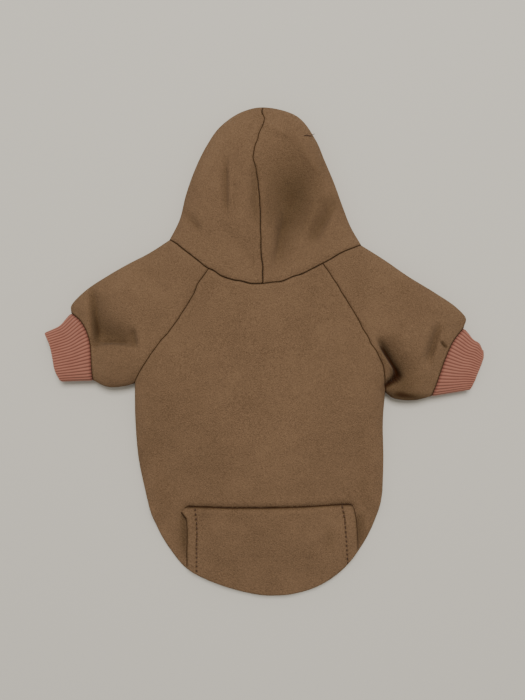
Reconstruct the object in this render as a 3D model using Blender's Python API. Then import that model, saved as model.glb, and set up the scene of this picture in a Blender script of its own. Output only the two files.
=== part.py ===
"""Pet sweatshirt with a hood, lying flat with its back upward.

Fleece panels are sewn into a hollow garment: a back panel that ends in a
rounded tail, a shorter chest panel under it, two raglan sleeves with ribbed
cuffs, a hood of two halves and a patch pocket on the tail.

Frame: +Z up from the surface it lies on, +Y from the tail to the crown of the
hood, +X to the garment's left arm as seen from above with the hood at the top.
Lengths are in metres.
"""
import math
from collections import namedtuple

import bmesh
import bpy
import numpy as np

# Outline sizes
BODY_WIDTH = 0.200
BACK_LENGTH = 0.245
HOOD_WIDTH = 0.157
HOOD_LENGTH = 0.151
SLEEVE_SPAN = 0.352

# Cloth
WALL = 0.0022
SEAM_GAP = 0.0004
HEM_WIDTH = 0.010
HEM_LAYERS = 2.0
FACE_HEM_WIDTH = 0.009

# Heights of the lying garment
FOLD_LEVEL = 0.0070
BODY_LOFT = 0.0170
TOP_ROLL = 0.026
UNDER_ROLL = 0.008
SIDE_SEAM_INSET = 0.010
TAIL_SLOPE = 0.075
TAIL_CORNER_LOFT = 0.0090
TAIL_CORNER_REACH = 0.016
EDGE_HOLD = 0.010

# Ribbed cuffs
RIBS = 34
RIB_DEPTH = 0.0009
CUFF_WALL = 0.0024

# Patch pocket
POCKET_WALL = 0.0020
POCKET_SEAT = 0.0007
POCKET_BULGE = 0.0030
POCKET_EDGE_CLEAR = 0.0012

ON_THE_LINE = 0.00002
ROLL_POWER = 2.4
UNDER_POWER = 2.0

Pair = namedtuple("Pair", "left_across left_along right_across right_along")
Point = namedtuple("Point", "across along")
Loft = namedtuple("Loft", "name across along reach_across reach_along rise")
Fold = namedtuple("Fold", "name across along turn length width rise")

# Shares of HOOD_WIDTH and HOOD_LENGTH, from the back of the neck seam
HOOD_EDGE = (
    Pair(-0.4904, 0.2503, 0.5096, 0.2205),
    Pair(-0.4395, 0.3629, 0.4554, 0.3232),
    Pair(-0.4089, 0.4980, 0.4172, 0.4291),
    Pair(-0.3656, 0.6344, 0.3726, 0.5649),
    Pair(-0.3057, 0.7715, 0.3248, 0.6874),
    Pair(-0.2325, 0.8861, 0.2771, 0.8099),
    Pair(-0.1210, 0.9709, 0.1815, 0.9457),
    Pair(-0.0006, 1.0000, -0.0006, 1.0000),
)
HOOD_SEAM = (
    Point(-0.0032, 0.0000),
    Point(-0.0134, 0.2258),
    Point(-0.0185, 0.4152),
    Point(-0.0312, 0.5742),
    Point(-0.0530, 0.6795),
    Point(-0.0360, 0.7669),
    Point(-0.0038, 0.8689),
    Point(-0.0006, 1.0000),
)
NECK_CENTRE = (
    Pair(-0.0032, 0.0000, -0.0032, 0.0000),
    Pair(-0.0764, 0.0013, 0.0828, 0.0093),
    Pair(-0.1529, 0.0159, 0.1720, 0.0424),
    Pair(-0.2229, 0.0464, 0.2420, 0.0768),
    Pair(-0.2796, 0.0768, 0.3038, 0.1113),
)
NECK_SHOULDER = (
    Pair(-0.2796, 0.0768, 0.3038, 0.1113),
    Pair(-0.3777, 0.1556, 0.3854, 0.1563),
    Pair(-0.4904, 0.2503, 0.5096, 0.2205),
)
FRONT_NECK_SHOULDER = (
    Pair(-0.4904, 0.2503, 0.5096, 0.2205),
    Pair(-0.3822, 0.0980, 0.4076, 0.0980),
    Pair(-0.2675, -0.0344, 0.2930, -0.0079),
)
FRONT_NECK_CENTRE = (
    Pair(-0.2675, -0.0344, 0.2930, -0.0079),
    Pair(-0.1465, -0.1040, 0.1656, -0.0907),
    Pair(-0.0127, -0.1377, 0.0127, -0.1377),
)
FACE_EDGE = (
    Pair(-0.0127, -0.1377, 0.0127, -0.1377),
    Pair(-0.0701, 0.0053, 0.0701, 0.0053),
    Pair(-0.1975, 0.2172, 0.1975, 0.2172),
    Pair(-0.2357, 0.4159, 0.2357, 0.4159),
    Pair(-0.1783, 0.6146, 0.1783, 0.6146),
    Pair(0.0000, 0.7338, 0.0000, 0.7338),
)

# Shares of SLEEVE_SPAN and BACK_LENGTH, from the back of the neck seam
SHOULDER_FOLD = (
    Pair(-0.2188, 0.1543, 0.2273, 0.1359),
    Pair(-0.2645, 0.1106, 0.2798, 0.0869),
    Pair(-0.3105, 0.0751, 0.3340, 0.0308),
    Pair(-0.3563, 0.0359, 0.3935, -0.0232),
    Pair(-0.4120, -0.0190, 0.4437, -0.0736),
    Pair(-0.4430, -0.0690, 0.4650, -0.1110),
    Pair(-0.4425, -0.0900, 0.4590, -0.1403),
)
UNDERARM_FOLD = (
    Pair(-0.2926, -0.3233, 0.2756, -0.3518),
    Pair(-0.3182, -0.3331, 0.2955, -0.3722),
    Pair(-0.3551, -0.3351, 0.3409, -0.3788),
    Pair(-0.3864, -0.3150, 0.3787, -0.3665),
)
CUFF_SEAM = (
    Pair(-0.3864, -0.3150, 0.3787, -0.3665),
    Pair(-0.3876, -0.2265, 0.3927, -0.3045),
    Pair(-0.3949, -0.1720, 0.4099, -0.2400),
    Pair(-0.4130, -0.1245, 0.4300, -0.1860),
    Pair(-0.4425, -0.0900, 0.4590, -0.1403),
)
CUFF_TOP_EDGE = (
    Pair(-0.4425, -0.0900, 0.4590, -0.1403),
    Pair(-0.4542, -0.1100, 0.4700, -0.1586),
    Pair(-0.4680, -0.1320, 0.4814, -0.1790),
    Pair(-0.4841, -0.1447, 0.4938, -0.1915),
    Pair(-0.5000, -0.1553, 0.5000, -0.2110),
)
CUFF_LOW_EDGE = (
    Pair(-0.3864, -0.3150, 0.3787, -0.3665),
    Pair(-0.4261, -0.3160, 0.4238, -0.3555),
    Pair(-0.4590, -0.3180, 0.4660, -0.3455),
)
CUFF_END = (
    Pair(-0.4590, -0.3180, 0.4660, -0.3455),
    Pair(-0.4704, -0.2775, 0.4758, -0.3102),
    Pair(-0.4773, -0.2347, 0.4862, -0.2742),
    Pair(-0.4861, -0.1918, 0.4965, -0.2380),
    Pair(-0.5000, -0.1553, 0.5000, -0.2110),
)

# Shares of BODY_WIDTH and BACK_LENGTH, from the back of the neck seam
RAGLAN = (
    Pair(-0.2195, 0.0473, 0.2385, 0.0686),
    Pair(-0.2665, -0.0114, 0.3050, -0.0212),
    Pair(-0.3210, -0.0971, 0.3750, -0.1200),
    Pair(-0.3910, -0.1755, 0.4210, -0.1951),
    Pair(-0.4490, -0.2404, 0.4670, -0.2629),
    Pair(-0.5150, -0.3233, 0.4850, -0.3518),
)
FRONT_RAGLAN = (
    Pair(-0.2100, -0.0212, 0.2300, -0.0049),
    Pair(-0.2600, -0.0865, 0.3000, -0.1029),
    Pair(-0.3600, -0.1804, 0.3950, -0.2171),
    Pair(-0.5150, -0.3233, 0.4850, -0.3518),
)
SIDE_FOLD = (
    Pair(-0.5150, -0.3233, 0.4850, -0.3518),
    Pair(-0.5105, -0.4433, 0.4755, -0.4433),
    Pair(-0.4955, -0.5718, 0.4765, -0.5718),
    Pair(-0.4590, -0.7016, 0.4705, -0.6759),
)
TAIL_EDGE = (
    Pair(-0.4590, -0.7016, 0.4705, -0.6759),
    Pair(-0.4175, -0.7906, 0.4375, -0.7682),
    Pair(-0.3650, -0.8588, 0.3825, -0.8498),
    Pair(-0.3000, -0.9171, 0.3035, -0.9241),
    Pair(-0.1630, -0.9690, 0.1850, -0.9804),
    Pair(0.0245, -1.0000, 0.0245, -1.0000),
)
BELLY_HEM = (
    Pair(-0.3000, -0.6253, 0.3000, -0.6090),
    Pair(-0.1500, -0.5600, 0.1500, -0.5518),
    Pair(0.0000, -0.5396, 0.0000, -0.5396),
)
POCKET_SIDE = (
    Pair(-0.3080, -0.7170, 0.3530, -0.7030),
    Pair(-0.2990, -0.7900, 0.3620, -0.7500),
    Pair(-0.3000, -0.8600, 0.3660, -0.8000),
)

# Where the cloth stands higher or lower than BODY_LOFT: place and reach as
# shares of BODY_WIDTH and BACK_LENGTH, rise as a share of BODY_LOFT
LOFTS = (
    Loft("hood left half", -0.180, 0.330, 0.200, 0.200, 0.32),
    Loft("hood right half", 0.200, 0.400, 0.160, 0.160, 0.30),
    Loft("hood hollow", 0.105, 0.209, 0.074, 0.108, -0.48),
    Loft("left sleeve", -0.560, -0.100, 0.180, 0.150, 0.20),
    Loft("right sleeve", 0.560, -0.150, 0.180, 0.150, 0.20),
    Loft("left cuff", -0.820, -0.200, 0.110, 0.160, -0.34),
    Loft("right cuff", 0.820, -0.240, 0.110, 0.160, -0.34),
)

# Dents, creases and ridges of the upper side: place, turn in degrees, half
# length and half width as shares of BODY_WIDTH, rise as a share of BODY_LOFT
FOLDS = (
    Fold("hood hollow tail", 0.073, 0.146, 76, 0.084, 0.027, -0.18),
    Fold("hood right crease", 0.237, 0.204, 56, 0.087, 0.027, -0.15),
    Fold("crown ridge", 0.081, 0.526, -33, 0.046, 0.023, 0.09),
    Fold("crown ridge side", 0.152, 0.452, -68, 0.052, 0.023, 0.08),
    Fold("hood left crease", -0.151, 0.334, 90, 0.120, 0.022, -0.14),
    Fold("hood left ridge", -0.112, 0.336, 89, 0.101, 0.024, 0.09),
    Fold("left sleeve trough", -0.658, -0.118, 88, 0.076, 0.022, -0.15),
    Fold("left sleeve hollow", -0.574, -0.158, 4, 0.055, 0.033, -0.32),
    Fold("left sleeve lip", -0.594, -0.205, 13, 0.062, 0.024, 0.12),
    Fold("right underarm fold", 0.476, -0.225, -54, 0.078, 0.029, -0.29),
    Fold("right underarm pit", 0.552, -0.324, -62, 0.040, 0.039, -0.22),
    Fold("right cuff crease", 0.670, -0.195, 77, 0.059, 0.024, -0.14),
)

# How finely each run of cloth is divided
TOP_STEPS = (0.012, 0.060, 0.170, 0.420)
UNDER_STEPS = (0.080, 0.350, 1.000)
HEM_STEP = 0.0008
RAGLAN_RUNS = 12
SHOULDER_RUNS = 7
BACK_HALF_RUNS = 9
SIDE_RUNS = 7
UNDER_SHOULDER_RUNS = 6
CHEST_HALF_RUNS = 5
HOOD_RUNS = 14
SLEEVE_RUNS = 7
CUFF_RUNS = 3
POCKET_ACROSS = 14
POCKET_ALONG = 7

LEFT, RIGHT = 0, 1
TOP, UNDER = 1.0, -1.0


def clear_scene():
    """Removes whatever the file holds before the garment is made."""
    for item in list(bpy.data.objects):
        bpy.data.objects.remove(item, do_unlink=True)


def side_points(rows, side, width, length):
    """The chosen side of a table of pairs as points in metres."""
    first = 2 * side
    return np.array([(row[first] * width, row[first + 1] * length) for row in rows])


def through(points, per_span=24):
    """A smooth open curve through the points, finely divided."""
    points = np.asarray(points, float)
    if len(points) == 2:
        share = np.linspace(0.0, 1.0, per_span + 1)[:, None]
        return points[0] * (1.0 - share) + points[1] * share
    before = 2.0 * points[0] - points[1]
    after = 2.0 * points[-1] - points[-2]
    knots = np.vstack([before, points, after])
    found = []
    for k in range(1, len(knots) - 2):
        p0, p1, p2, p3 = knots[k - 1:k + 3]
        t01 = math.sqrt(np.linalg.norm(p1 - p0))
        t12 = math.sqrt(np.linalg.norm(p2 - p1))
        t23 = math.sqrt(np.linalg.norm(p3 - p2))
        m1 = p2 - p1 + t12 * ((p1 - p0) / t01 - (p2 - p0) / (t01 + t12))
        m2 = p2 - p1 + t12 * ((p3 - p2) / t23 - (p3 - p1) / (t12 + t23))
        t = np.linspace(0.0, 1.0, per_span, endpoint=False)[:, None]
        found.append(
            (2 * t**3 - 3 * t**2 + 1) * p1 + (t**3 - 2 * t**2 + t) * m1
            + (3 * t**2 - 2 * t**3) * p2 + (t**3 - t**2) * m2
        )
    found.append(points[-1:])
    return np.vstack(found)


def lengths_along(curve):
    """Distance run from the start to each point of a curve."""
    runs = np.linalg.norm(np.diff(curve, axis=0), axis=1)
    return np.concatenate([[0.0], np.cumsum(runs)])


def at_lengths(curve, wanted):
    """Points at the wanted distances along a curve."""
    run = lengths_along(curve)
    return np.stack([np.interp(wanted, run, curve[:, k]) for k in range(curve.shape[1])], 1)


def divide(curve, count, start=(), end=()):
    """Cuts a curve into runs, with set distances first from either end."""
    total = lengths_along(curve)[-1]
    start = [s for s in start if s < 0.4 * total]
    end = [s for s in end if s < 0.4 * total]
    middle = count - len(start) - len(end)
    first = start[-1] if start else 0.0
    last = total - (end[-1] if end else 0.0)
    even = np.linspace(first, last, middle + 1)
    marks = ([0.0] if start else []) + list(start[:-1]) + list(even)
    marks = marks + [total - s for s in reversed(end[:-1])] + ([total] if end else [])
    return at_lengths(curve, np.array(marks))


def shares_of(points):
    """Each point's share of the way along its line."""
    run = lengths_along(points)
    return run / run[-1]


def fill(low, high, first, last):
    """Points between four edge lines; low and high run the same way."""
    ul, uh = shares_of(low)[:, None], shares_of(high)[:, None]
    vf, vl = shares_of(first)[None, :], shares_of(last)[None, :]
    du, dv = uh - ul, vl - vf
    u = (ul + du * vf) / (1.0 - du * dv)
    v = vf + dv * u
    u, v = u[..., None], v[..., None]
    grid = (
        (1 - v) * low[:, None] + v * high[:, None]
        + (1 - u) * first[None, :] + u * last[None, :]
        - (1 - u) * (1 - v) * low[0] - u * (1 - v) * low[-1]
        - (1 - u) * v * high[0] - u * v * high[-1]
    )
    grid[:, 0], grid[:, -1] = low, high
    grid[0, :], grid[-1, :] = first, last
    return grid


def distance_to(line, points):
    """Least distance from each point to a line of short straight runs."""
    flat = points.reshape(-1, 2)
    start, step = line[:-1], np.diff(line, axis=0)
    size = np.maximum((step**2).sum(1), 1e-18)
    best = np.full(len(flat), np.inf)
    for a, d, s in zip(start, step, size):
        share = np.clip(((flat - a) @ d) / s, 0.0, 1.0)
        gap = flat - a - share[:, None] * d
        best = np.minimum(best, (gap**2).sum(1))
    return np.sqrt(best).reshape(points.shape[:-1])


def ease(value):
    """A smooth step from 0 to 1."""
    value = np.clip(value, 0.0, 1.0)
    return value * value * (3.0 - 2.0 * value)


def build_lines():
    """Every seam, fold and hem line of the garment, seen from above."""
    lines = {}
    hood = (HOOD_WIDTH, HOOD_LENGTH)
    arm = (SLEEVE_SPAN, BACK_LENGTH)
    body = (BODY_WIDTH, BACK_LENGTH)
    edge_left = side_points(HOOD_EDGE, LEFT, *hood)
    edge_right = side_points(HOOD_EDGE, RIGHT, *hood)
    crown = through(np.vstack([edge_left, edge_right[-2::-1]]))
    middle = 24 * (len(HOOD_EDGE) - 1)
    lines["hood_edge"] = (crown[:middle + 1], crown[middle:][::-1])
    seam = np.array([(row.across * HOOD_WIDTH, row.along * HOOD_LENGTH) for row in HOOD_SEAM])
    lines["hood_seam"] = through(seam)
    tail_left = side_points(TAIL_EDGE, LEFT, *body)
    tail_right = side_points(TAIL_EDGE, RIGHT, *body)
    lines["tail"] = through(np.vstack([tail_left, tail_right[-2::-1]]))
    corners = (edge_left[0], edge_right[0])
    tables = (
        ("neck_centre", NECK_CENTRE, hood),
        ("neck_shoulder", NECK_SHOULDER, hood),
        ("front_neck_shoulder", FRONT_NECK_SHOULDER, hood),
        ("front_neck_centre", FRONT_NECK_CENTRE, hood),
        ("face_edge", FACE_EDGE, hood),
        ("shoulder_fold", SHOULDER_FOLD, arm),
        ("underarm_fold", UNDERARM_FOLD, arm),
        ("cuff_seam", CUFF_SEAM, arm),
        ("cuff_top_edge", CUFF_TOP_EDGE, arm),
        ("cuff_low_edge", CUFF_LOW_EDGE, arm),
        ("cuff_end", CUFF_END, arm),
        ("raglan", RAGLAN, body),
        ("front_raglan", FRONT_RAGLAN, body),
        ("side_fold", SIDE_FOLD, body),
    )
    raw = {name: [side_points(rows, s, *size) for s in (LEFT, RIGHT)] for name, rows, size in tables}
    for side in (LEFT, RIGHT):
        underarm = raw["side_fold"][side][0]
        raw["shoulder_fold"][side][0] = corners[side]
        raw["raglan"][side][0] = raw["neck_centre"][side][-1]
        raw["front_raglan"][side][0] = raw["front_neck_centre"][side][0]
        raw["raglan"][side][-1] = underarm
        raw["front_raglan"][side][-1] = underarm
        raw["underarm_fold"][side][0] = underarm
    for name in raw:
        lines[name] = tuple(through(raw[name][side]) for side in (LEFT, RIGHT))
    chains = []
    for side in (LEFT, RIGHT):
        upper = (lines["hood_edge"][side][::-1], lines["shoulder_fold"][side],
                 lines["cuff_top_edge"][side])
        lower = (lines["cuff_low_edge"][side][::-1], lines["underarm_fold"][side][::-1],
                 lines["side_fold"][side])
        chains.append(np.vstack(upper))
        chains.append(np.vstack(lower))
    lines["folds"] = chains
    return lines


def fold_distance(lines, points):
    """Distance from each point to the nearest folded edge of the garment."""
    away = np.min([distance_to(chain, points) for chain in lines["folds"]], axis=0)
    return np.where(away < ON_THE_LINE, 0.0, away)


def rise_of_folds(points):
    """How far the dents, creases and ridges move the upper side."""
    rise = np.zeros(points.shape[:-1])
    for row in FOLDS:
        centre = np.array([row.across * BODY_WIDTH, row.along * BACK_LENGTH])
        turn = math.radians(row.turn)
        along = (points - centre) @ np.array([math.cos(turn), math.sin(turn)])
        across = (points - centre) @ np.array([-math.sin(turn), math.cos(turn)])
        bell = (along / (row.length * BODY_WIDTH)) ** 4 + (across / (row.width * BODY_WIDTH)) ** 2
        rise += row.rise * BODY_LOFT * np.exp(-bell)
    return rise


def height(lines, points, face):
    """Height of the outer surface of the cloth over each point."""
    away = fold_distance(lines, points)
    loft = np.full(points.shape[:-1], BODY_LOFT)
    for row in LOFTS:
        du = (points[..., 0] - row.across * BODY_WIDTH) / (row.reach_across * BODY_WIDTH)
        dv = (points[..., 1] - row.along * BACK_LENGTH) / (row.reach_along * BACK_LENGTH)
        loft = loft + row.rise * BODY_LOFT * np.exp(-(du**2 + dv**2))
    hem = HEM_LAYERS * WALL
    corner = np.exp(-((away / TAIL_CORNER_REACH) ** 4))
    floor_loft = hem + (TAIL_CORNER_LOFT - hem) * corner
    floor_fold = hem
    rising = ease((distance_to(lines["tail"][::3], points) - HEM_WIDTH) / TAIL_SLOPE)
    loft = floor_loft + (loft - floor_loft) * rising
    level = floor_fold + (FOLD_LEVEL - floor_fold) * rising
    if face == UNDER:
        inset = np.clip(1.0 - away / UNDER_ROLL, 0.0, 1.0)
        return level * (1.0 - (1.0 - inset**UNDER_POWER) ** (1.0 / UNDER_POWER))
    inset = np.clip(1.0 - away / TOP_ROLL, 0.0, 1.0)
    bow = (1.0 - inset**ROLL_POWER) ** (1.0 / ROLL_POWER)
    dent = rise_of_folds(points) * ease(away / EDGE_HOLD) * rising
    return level + (loft - level) * bow + dent


def raise_points(lines, flat, face):
    """Puts flat points on the garment's outer surface."""
    return np.concatenate([flat, height(lines, flat, face)[..., None]], axis=-1)


class Cloth:
    """One skin of shared points, whose faces belong to named panels."""

    def __init__(self):
        self.points, self.walls, self.index = [], [], {}
        self.faces, self.owner = [], []

    def point(self, place, wall):
        key = tuple(int(round(c * 2.0e6)) for c in place)
        if key not in self.index:
            self.index[key] = len(self.points)
            self.points.append(np.array(place, float))
            self.walls.append(wall)
        at = self.index[key]
        self.walls[at] = max(self.walls[at], wall)
        return at

    def add(self, panel, grid, walls, face):
        """Adds a grid of points as faces that look up or down."""
        rows, columns = grid.shape[:2]
        ids = [[self.point(grid[i, j], walls[i, j]) for j in range(columns)] for i in range(rows)]
        faces, lean = [], 0.0
        for i in range(rows - 1):
            for j in range(columns - 1):
                ring = [ids[i][j], ids[i + 1][j], ids[i + 1][j + 1], ids[i][j + 1]]
                ring = [a for k, a in enumerate(ring) if a != ring[k - 1]]
                if len(ring) < 3:
                    continue
                faces.append(ring)
                lean += newell([self.points[a] for a in ring])[2]
        if (lean < 0.0) == (face == TOP):
            faces = [ring[::-1] for ring in faces]
        self.faces += faces
        self.owner += [panel] * len(faces)

    def normals(self):
        """Outward direction of the whole skin at each point."""
        total = np.zeros((len(self.points), 3))
        for ring in self.faces:
            total[ring] += newell([self.points[a] for a in ring])
        return total / np.maximum(np.linalg.norm(total, axis=1), 1e-12)[:, None]


def newell(ring):
    """Area vector of a ring of points."""
    ring = np.asarray(ring)
    return 0.5 * np.cross(ring, np.roll(ring, -1, axis=0)).sum(0)


def rim_edges(faces):
    """Directed edges that only one face of a panel has."""
    seen = {(ring[k - 1], ring[k]) for ring in faces for k in range(len(ring))}
    return [edge for edge in seen if (edge[1], edge[0]) not in seen]


def panel_body(cloth, panel, normals, extra_seams=()):
    """Points and faces of one panel as a closed wall of cloth."""
    faces = [ring for ring, owner in zip(cloth.faces, cloth.owner) if owner == panel]
    others = {
        (ring[k - 1], ring[k])
        for ring, owner in zip(cloth.faces, cloth.owner) if owner != panel
        for k in range(len(ring))
    }
    used = sorted({a for ring in faces for a in ring})
    local = {a: k for k, a in enumerate(used)}
    outer = np.array([cloth.points[a] for a in used])
    lift = np.array([normals[a] for a in used])
    wall = np.array([cloth.walls[a] for a in used])
    edge_face = {(ring[k - 1], ring[k]): ring for ring in faces for k in range(len(ring))}
    pulls = {}
    rims = sorted(rim_edges(faces))
    for a, b in rims:
        if (b, a) not in others:
            continue
        start, stop = cloth.points[a], cloth.points[b]
        run = (stop - start) / max(np.linalg.norm(stop - start), 1e-12)
        inward = np.mean([cloth.points[c] for c in edge_face[(a, b)]], axis=0) - start
        inward = inward - run * (inward @ run)
        inward = inward / max(np.linalg.norm(inward), 1e-12)
        pulls.setdefault(a, []).append(inward)
        pulls.setdefault(b, []).append(inward)
    half = 0.5 * SEAM_GAP
    for a, ways in pulls.items():
        total = np.sum(ways, axis=0)
        scale = max(float(np.mean([total @ way for way in ways])), 0.35)
        outer[local[a]] = outer[local[a]] + half * total / scale
    inner = outer - lift * wall[:, None]
    inner[:, 2] = np.maximum(inner[:, 2], 0.0)
    count = len(used)
    rings = [[local[a] for a in ring] for ring in faces]
    rings += [[local[a] + count for a in ring[::-1]] for ring in faces]
    rings += [[local[b], local[a], local[a] + count, local[b] + count] for a, b in rims]
    return np.vstack([outer, inner]), rings


def reverse(points):
    """The same points from the other end."""
    return points[::-1]


def cut_points(lines):
    """Shared points on the seams where panels meet."""
    top = [s * TOP_ROLL for s in TOP_STEPS]
    under = [s * UNDER_ROLL for s in UNDER_STEPS]
    shared = {}
    for side in (LEFT, RIGHT):
        shared["neck_centre", side] = divide(lines["neck_centre"][side], BACK_HALF_RUNS)
        shared["neck_shoulder", side] = divide(lines["neck_shoulder"][side], SHOULDER_RUNS, end=top[1:])
        shared["raglan", side] = divide(lines["raglan"][side], RAGLAN_RUNS, end=top[1:])
        shared["front_neck_shoulder", side] = divide(
            lines["front_neck_shoulder"][side], UNDER_SHOULDER_RUNS, start=under[1:])
        shared["front_neck_centre", side] = divide(
            lines["front_neck_centre"][side], CHEST_HALF_RUNS)
        shared["front_raglan", side] = divide(
            lines["front_raglan"][side], RAGLAN_RUNS - 3, end=under[1:])
        edge = lines["side_fold"][side]
        total = lengths_along(edge)[-1]
        marks = np.linspace(0.0, total - HEM_WIDTH - HEM_STEP, SIDE_RUNS + 1)
        marks = np.concatenate([marks, [total - HEM_WIDTH, total]])
        shared["side_fold", side] = at_lengths(edge, marks)
        ahead = at_lengths(edge, np.minimum(marks + 1e-4, total))
        behind = at_lengths(edge, np.maximum(marks - 1e-4, 0.0))
        run = ahead - behind
        run = run / np.linalg.norm(run, axis=1)[:, None]
        turn = 1.0 if side == LEFT else -1.0
        inward = turn * np.stack([-run[:, 1], run[:, 0]], 1)
        shared["side_inward", side] = inward
        inset = SIDE_SEAM_INSET * ease(marks / (2.5 * SIDE_SEAM_INSET))
        shared["side_inset", side] = inset
        shared["side_seam", side] = shared["side_fold", side] + inward * inset[:, None]
    return shared


def add_back(cloth, lines, shared):
    """The back panel from the neck and raglan seams to the tail hem."""
    top = [s * TOP_ROLL for s in TOP_STEPS]
    sides = [np.vstack([shared["raglan", s], shared["side_fold", s][1:]]) for s in (LEFT, RIGHT)]
    neck = np.vstack([reverse(shared["neck_centre", LEFT]), shared["neck_centre", RIGHT][1:]])
    count = 2 * BACK_HALF_RUNS
    tail = divide(lines["tail"], count, start=top, end=top)
    body = [points[:-2] for points in sides]
    inside = tail.copy()
    run = np.gradient(tail, axis=0)
    run = run / np.linalg.norm(run, axis=1)[:, None]
    inward = np.stack([-run[:, 1], run[:, 0]], 1)
    edges = []
    for deep in (HEM_WIDTH + HEM_STEP, HEM_WIDTH):
        row = inside + inward * deep
        at = -3 if deep > HEM_WIDTH else -2
        share = shares_of(tail)[:, None]
        shift_low = sides[LEFT][at] - row[0]
        shift_high = sides[RIGHT][at] - row[-1]
        near_low = np.exp(-share * 9.0)
        near_high = np.exp(-(1.0 - share) * 9.0)
        row = row + shift_low * near_low + shift_high * near_high
        row[0], row[-1] = sides[LEFT][at], sides[RIGHT][at]
        edges.append(row)
    grid = fill(neck, edges[0], body[LEFT], body[RIGHT])
    grid = np.concatenate([grid, edges[1][:, None], tail[:, None]], axis=1)
    walls = np.full(grid.shape[:2], WALL)
    away = fold_distance(lines, grid)
    doubled = 1.0 + (HEM_LAYERS - 1.0) * ease((away - 0.8 * TAIL_CORNER_REACH) / TAIL_CORNER_REACH)
    walls[:, -2:] = WALL * doubled[:, -2:]
    cloth.add("back_panel", raise_points(lines, grid, TOP), walls, TOP)
    for side in (LEFT, RIGHT):
        fold, inward_way = shared["side_fold", side], shared["side_inward", side]
        inset = shared["side_inset", side]
        rows = [fold + inward_way * (inset * share)[:, None] for share in (0.0, 0.08, 0.36, 1.0)]
        flange = np.stack(rows, 0)
        flange[-1] = shared["side_seam", side]
        walls = np.full(flange.shape[:2], WALL)
        cloth.add("back_panel", raise_points(lines, flange, UNDER), walls, UNDER)


def add_chest(cloth, lines, shared):
    """The shorter panel under the chest and belly."""
    sides = [np.vstack([shared["front_raglan", s], shared["side_seam", s][1:]]) for s in (LEFT, RIGHT)]
    neck = np.vstack([shared["front_neck_centre", LEFT], reverse(shared["front_neck_centre", RIGHT])])
    rows_left = side_points(BELLY_HEM, LEFT, BODY_WIDTH, BACK_LENGTH)
    rows_right = side_points(BELLY_HEM, RIGHT, BODY_WIDTH, BACK_LENGTH)
    hem_curve = through(np.vstack([sides[LEFT][-1], rows_left, rows_right[-2::-1], sides[RIGHT][-1]]))
    hem = divide(hem_curve, 2 * CHEST_HALF_RUNS + 1)
    run = np.gradient(hem, axis=0)
    run = run / np.linalg.norm(run, axis=1)[:, None]
    inward = np.stack([-run[:, 1], run[:, 0]], 1)
    edges = []
    for deep, at in ((HEM_WIDTH + HEM_STEP, -3), (HEM_WIDTH, -2)):
        row = hem + inward * deep
        row[0], row[-1] = sides[LEFT][at], sides[RIGHT][at]
        edges.append(row)
    grid = fill(neck, edges[0], sides[LEFT][:-2], sides[RIGHT][:-2])
    grid = np.concatenate([grid, edges[1][:, None], hem[:, None]], axis=1)
    walls = np.full(grid.shape[:2], WALL)
    walls[2:-2, -2:] = WALL * HEM_LAYERS
    cloth.add("chest_panel", raise_points(lines, grid, UNDER), walls, UNDER)


def add_sleeve(cloth, lines, shared, side):
    """A raglan sleeve from the armhole to the cuff seam."""
    panel = ("left_sleeve", "right_sleeve")[side]
    top = [s * TOP_ROLL for s in TOP_STEPS]
    under = [s * UNDER_ROLL for s in UNDER_STEPS]
    armhole = np.vstack([reverse(shared["raglan", side]), shared["neck_shoulder", side][1:]])
    low_fold = divide(lines["underarm_fold"][side], SLEEVE_RUNS)
    high_fold = divide(lines["shoulder_fold"][side], SLEEVE_RUNS)
    cuff = divide(lines["cuff_seam"][side], len(armhole) - 1, start=top[:3], end=top[:3])
    cuff[0], cuff[-1] = low_fold[-1], high_fold[-1]
    grid = fill(armhole, cuff, low_fold, high_fold)
    cloth.add(panel, raise_points(lines, grid, TOP), np.full(grid.shape[:2], WALL), TOP)
    front = np.vstack([
        reverse(shared["front_raglan", side]), reverse(shared["front_neck_shoulder", side])[1:]])
    cuff = divide(lines["cuff_seam"][side], len(front) - 1, start=under, end=under)
    cuff[0], cuff[-1] = low_fold[-1], high_fold[-1]
    grid = fill(front, cuff, low_fold, high_fold)
    cloth.add(panel, raise_points(lines, grid, UNDER), np.full(grid.shape[:2], WALL), UNDER)


def add_hood_half(cloth, lines, shared, side):
    """Half of the hood, from the centre seam round the edge to the face hem."""
    panel = ("hood_left", "hood_right")[side]
    top = [s * TOP_ROLL for s in TOP_STEPS]
    under = [s * UNDER_ROLL for s in UNDER_STEPS]
    edge = divide(lines["hood_edge"][side], HOOD_RUNS)
    neck = np.vstack([reverse(shared["neck_shoulder", side]), reverse(shared["neck_centre", side])[1:]])
    seam = lines["hood_seam"]
    total = lengths_along(seam)[-1]
    turn_at = total - 0.26 * HOOD_LENGTH
    crown = at_lengths(seam, np.linspace(turn_at, total, 60))[::-1]
    crown = divide(crown, len(neck) - 1, start=top)
    centre = at_lengths(seam, np.linspace(0.0, turn_at, HOOD_RUNS + 1))
    crown[0], crown[-1] = edge[-1], centre[-1]
    grid = fill(neck, crown, edge, centre)
    cloth.add(panel, raise_points(lines, grid, TOP), np.full(grid.shape[:2], WALL), TOP)
    throat = np.vstack([
        shared["front_neck_shoulder", side], shared["front_neck_centre", side][1:]])
    face = divide(lines["face_edge"][side], HOOD_RUNS)
    brow = np.stack([edge[-1], face[-1]])
    brow = divide(through(brow), len(throat) - 1, start=under,
                  end=[FACE_HEM_WIDTH, FACE_HEM_WIDTH + HEM_STEP])
    brow[0], brow[-1] = edge[-1], face[-1]
    grid = fill(throat, brow, edge, face)
    walls = np.full(grid.shape[:2], WALL)
    walls[-2:, 1:] = WALL * HEM_LAYERS
    cloth.add(panel, raise_points(lines, grid, UNDER), walls, UNDER)


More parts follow.
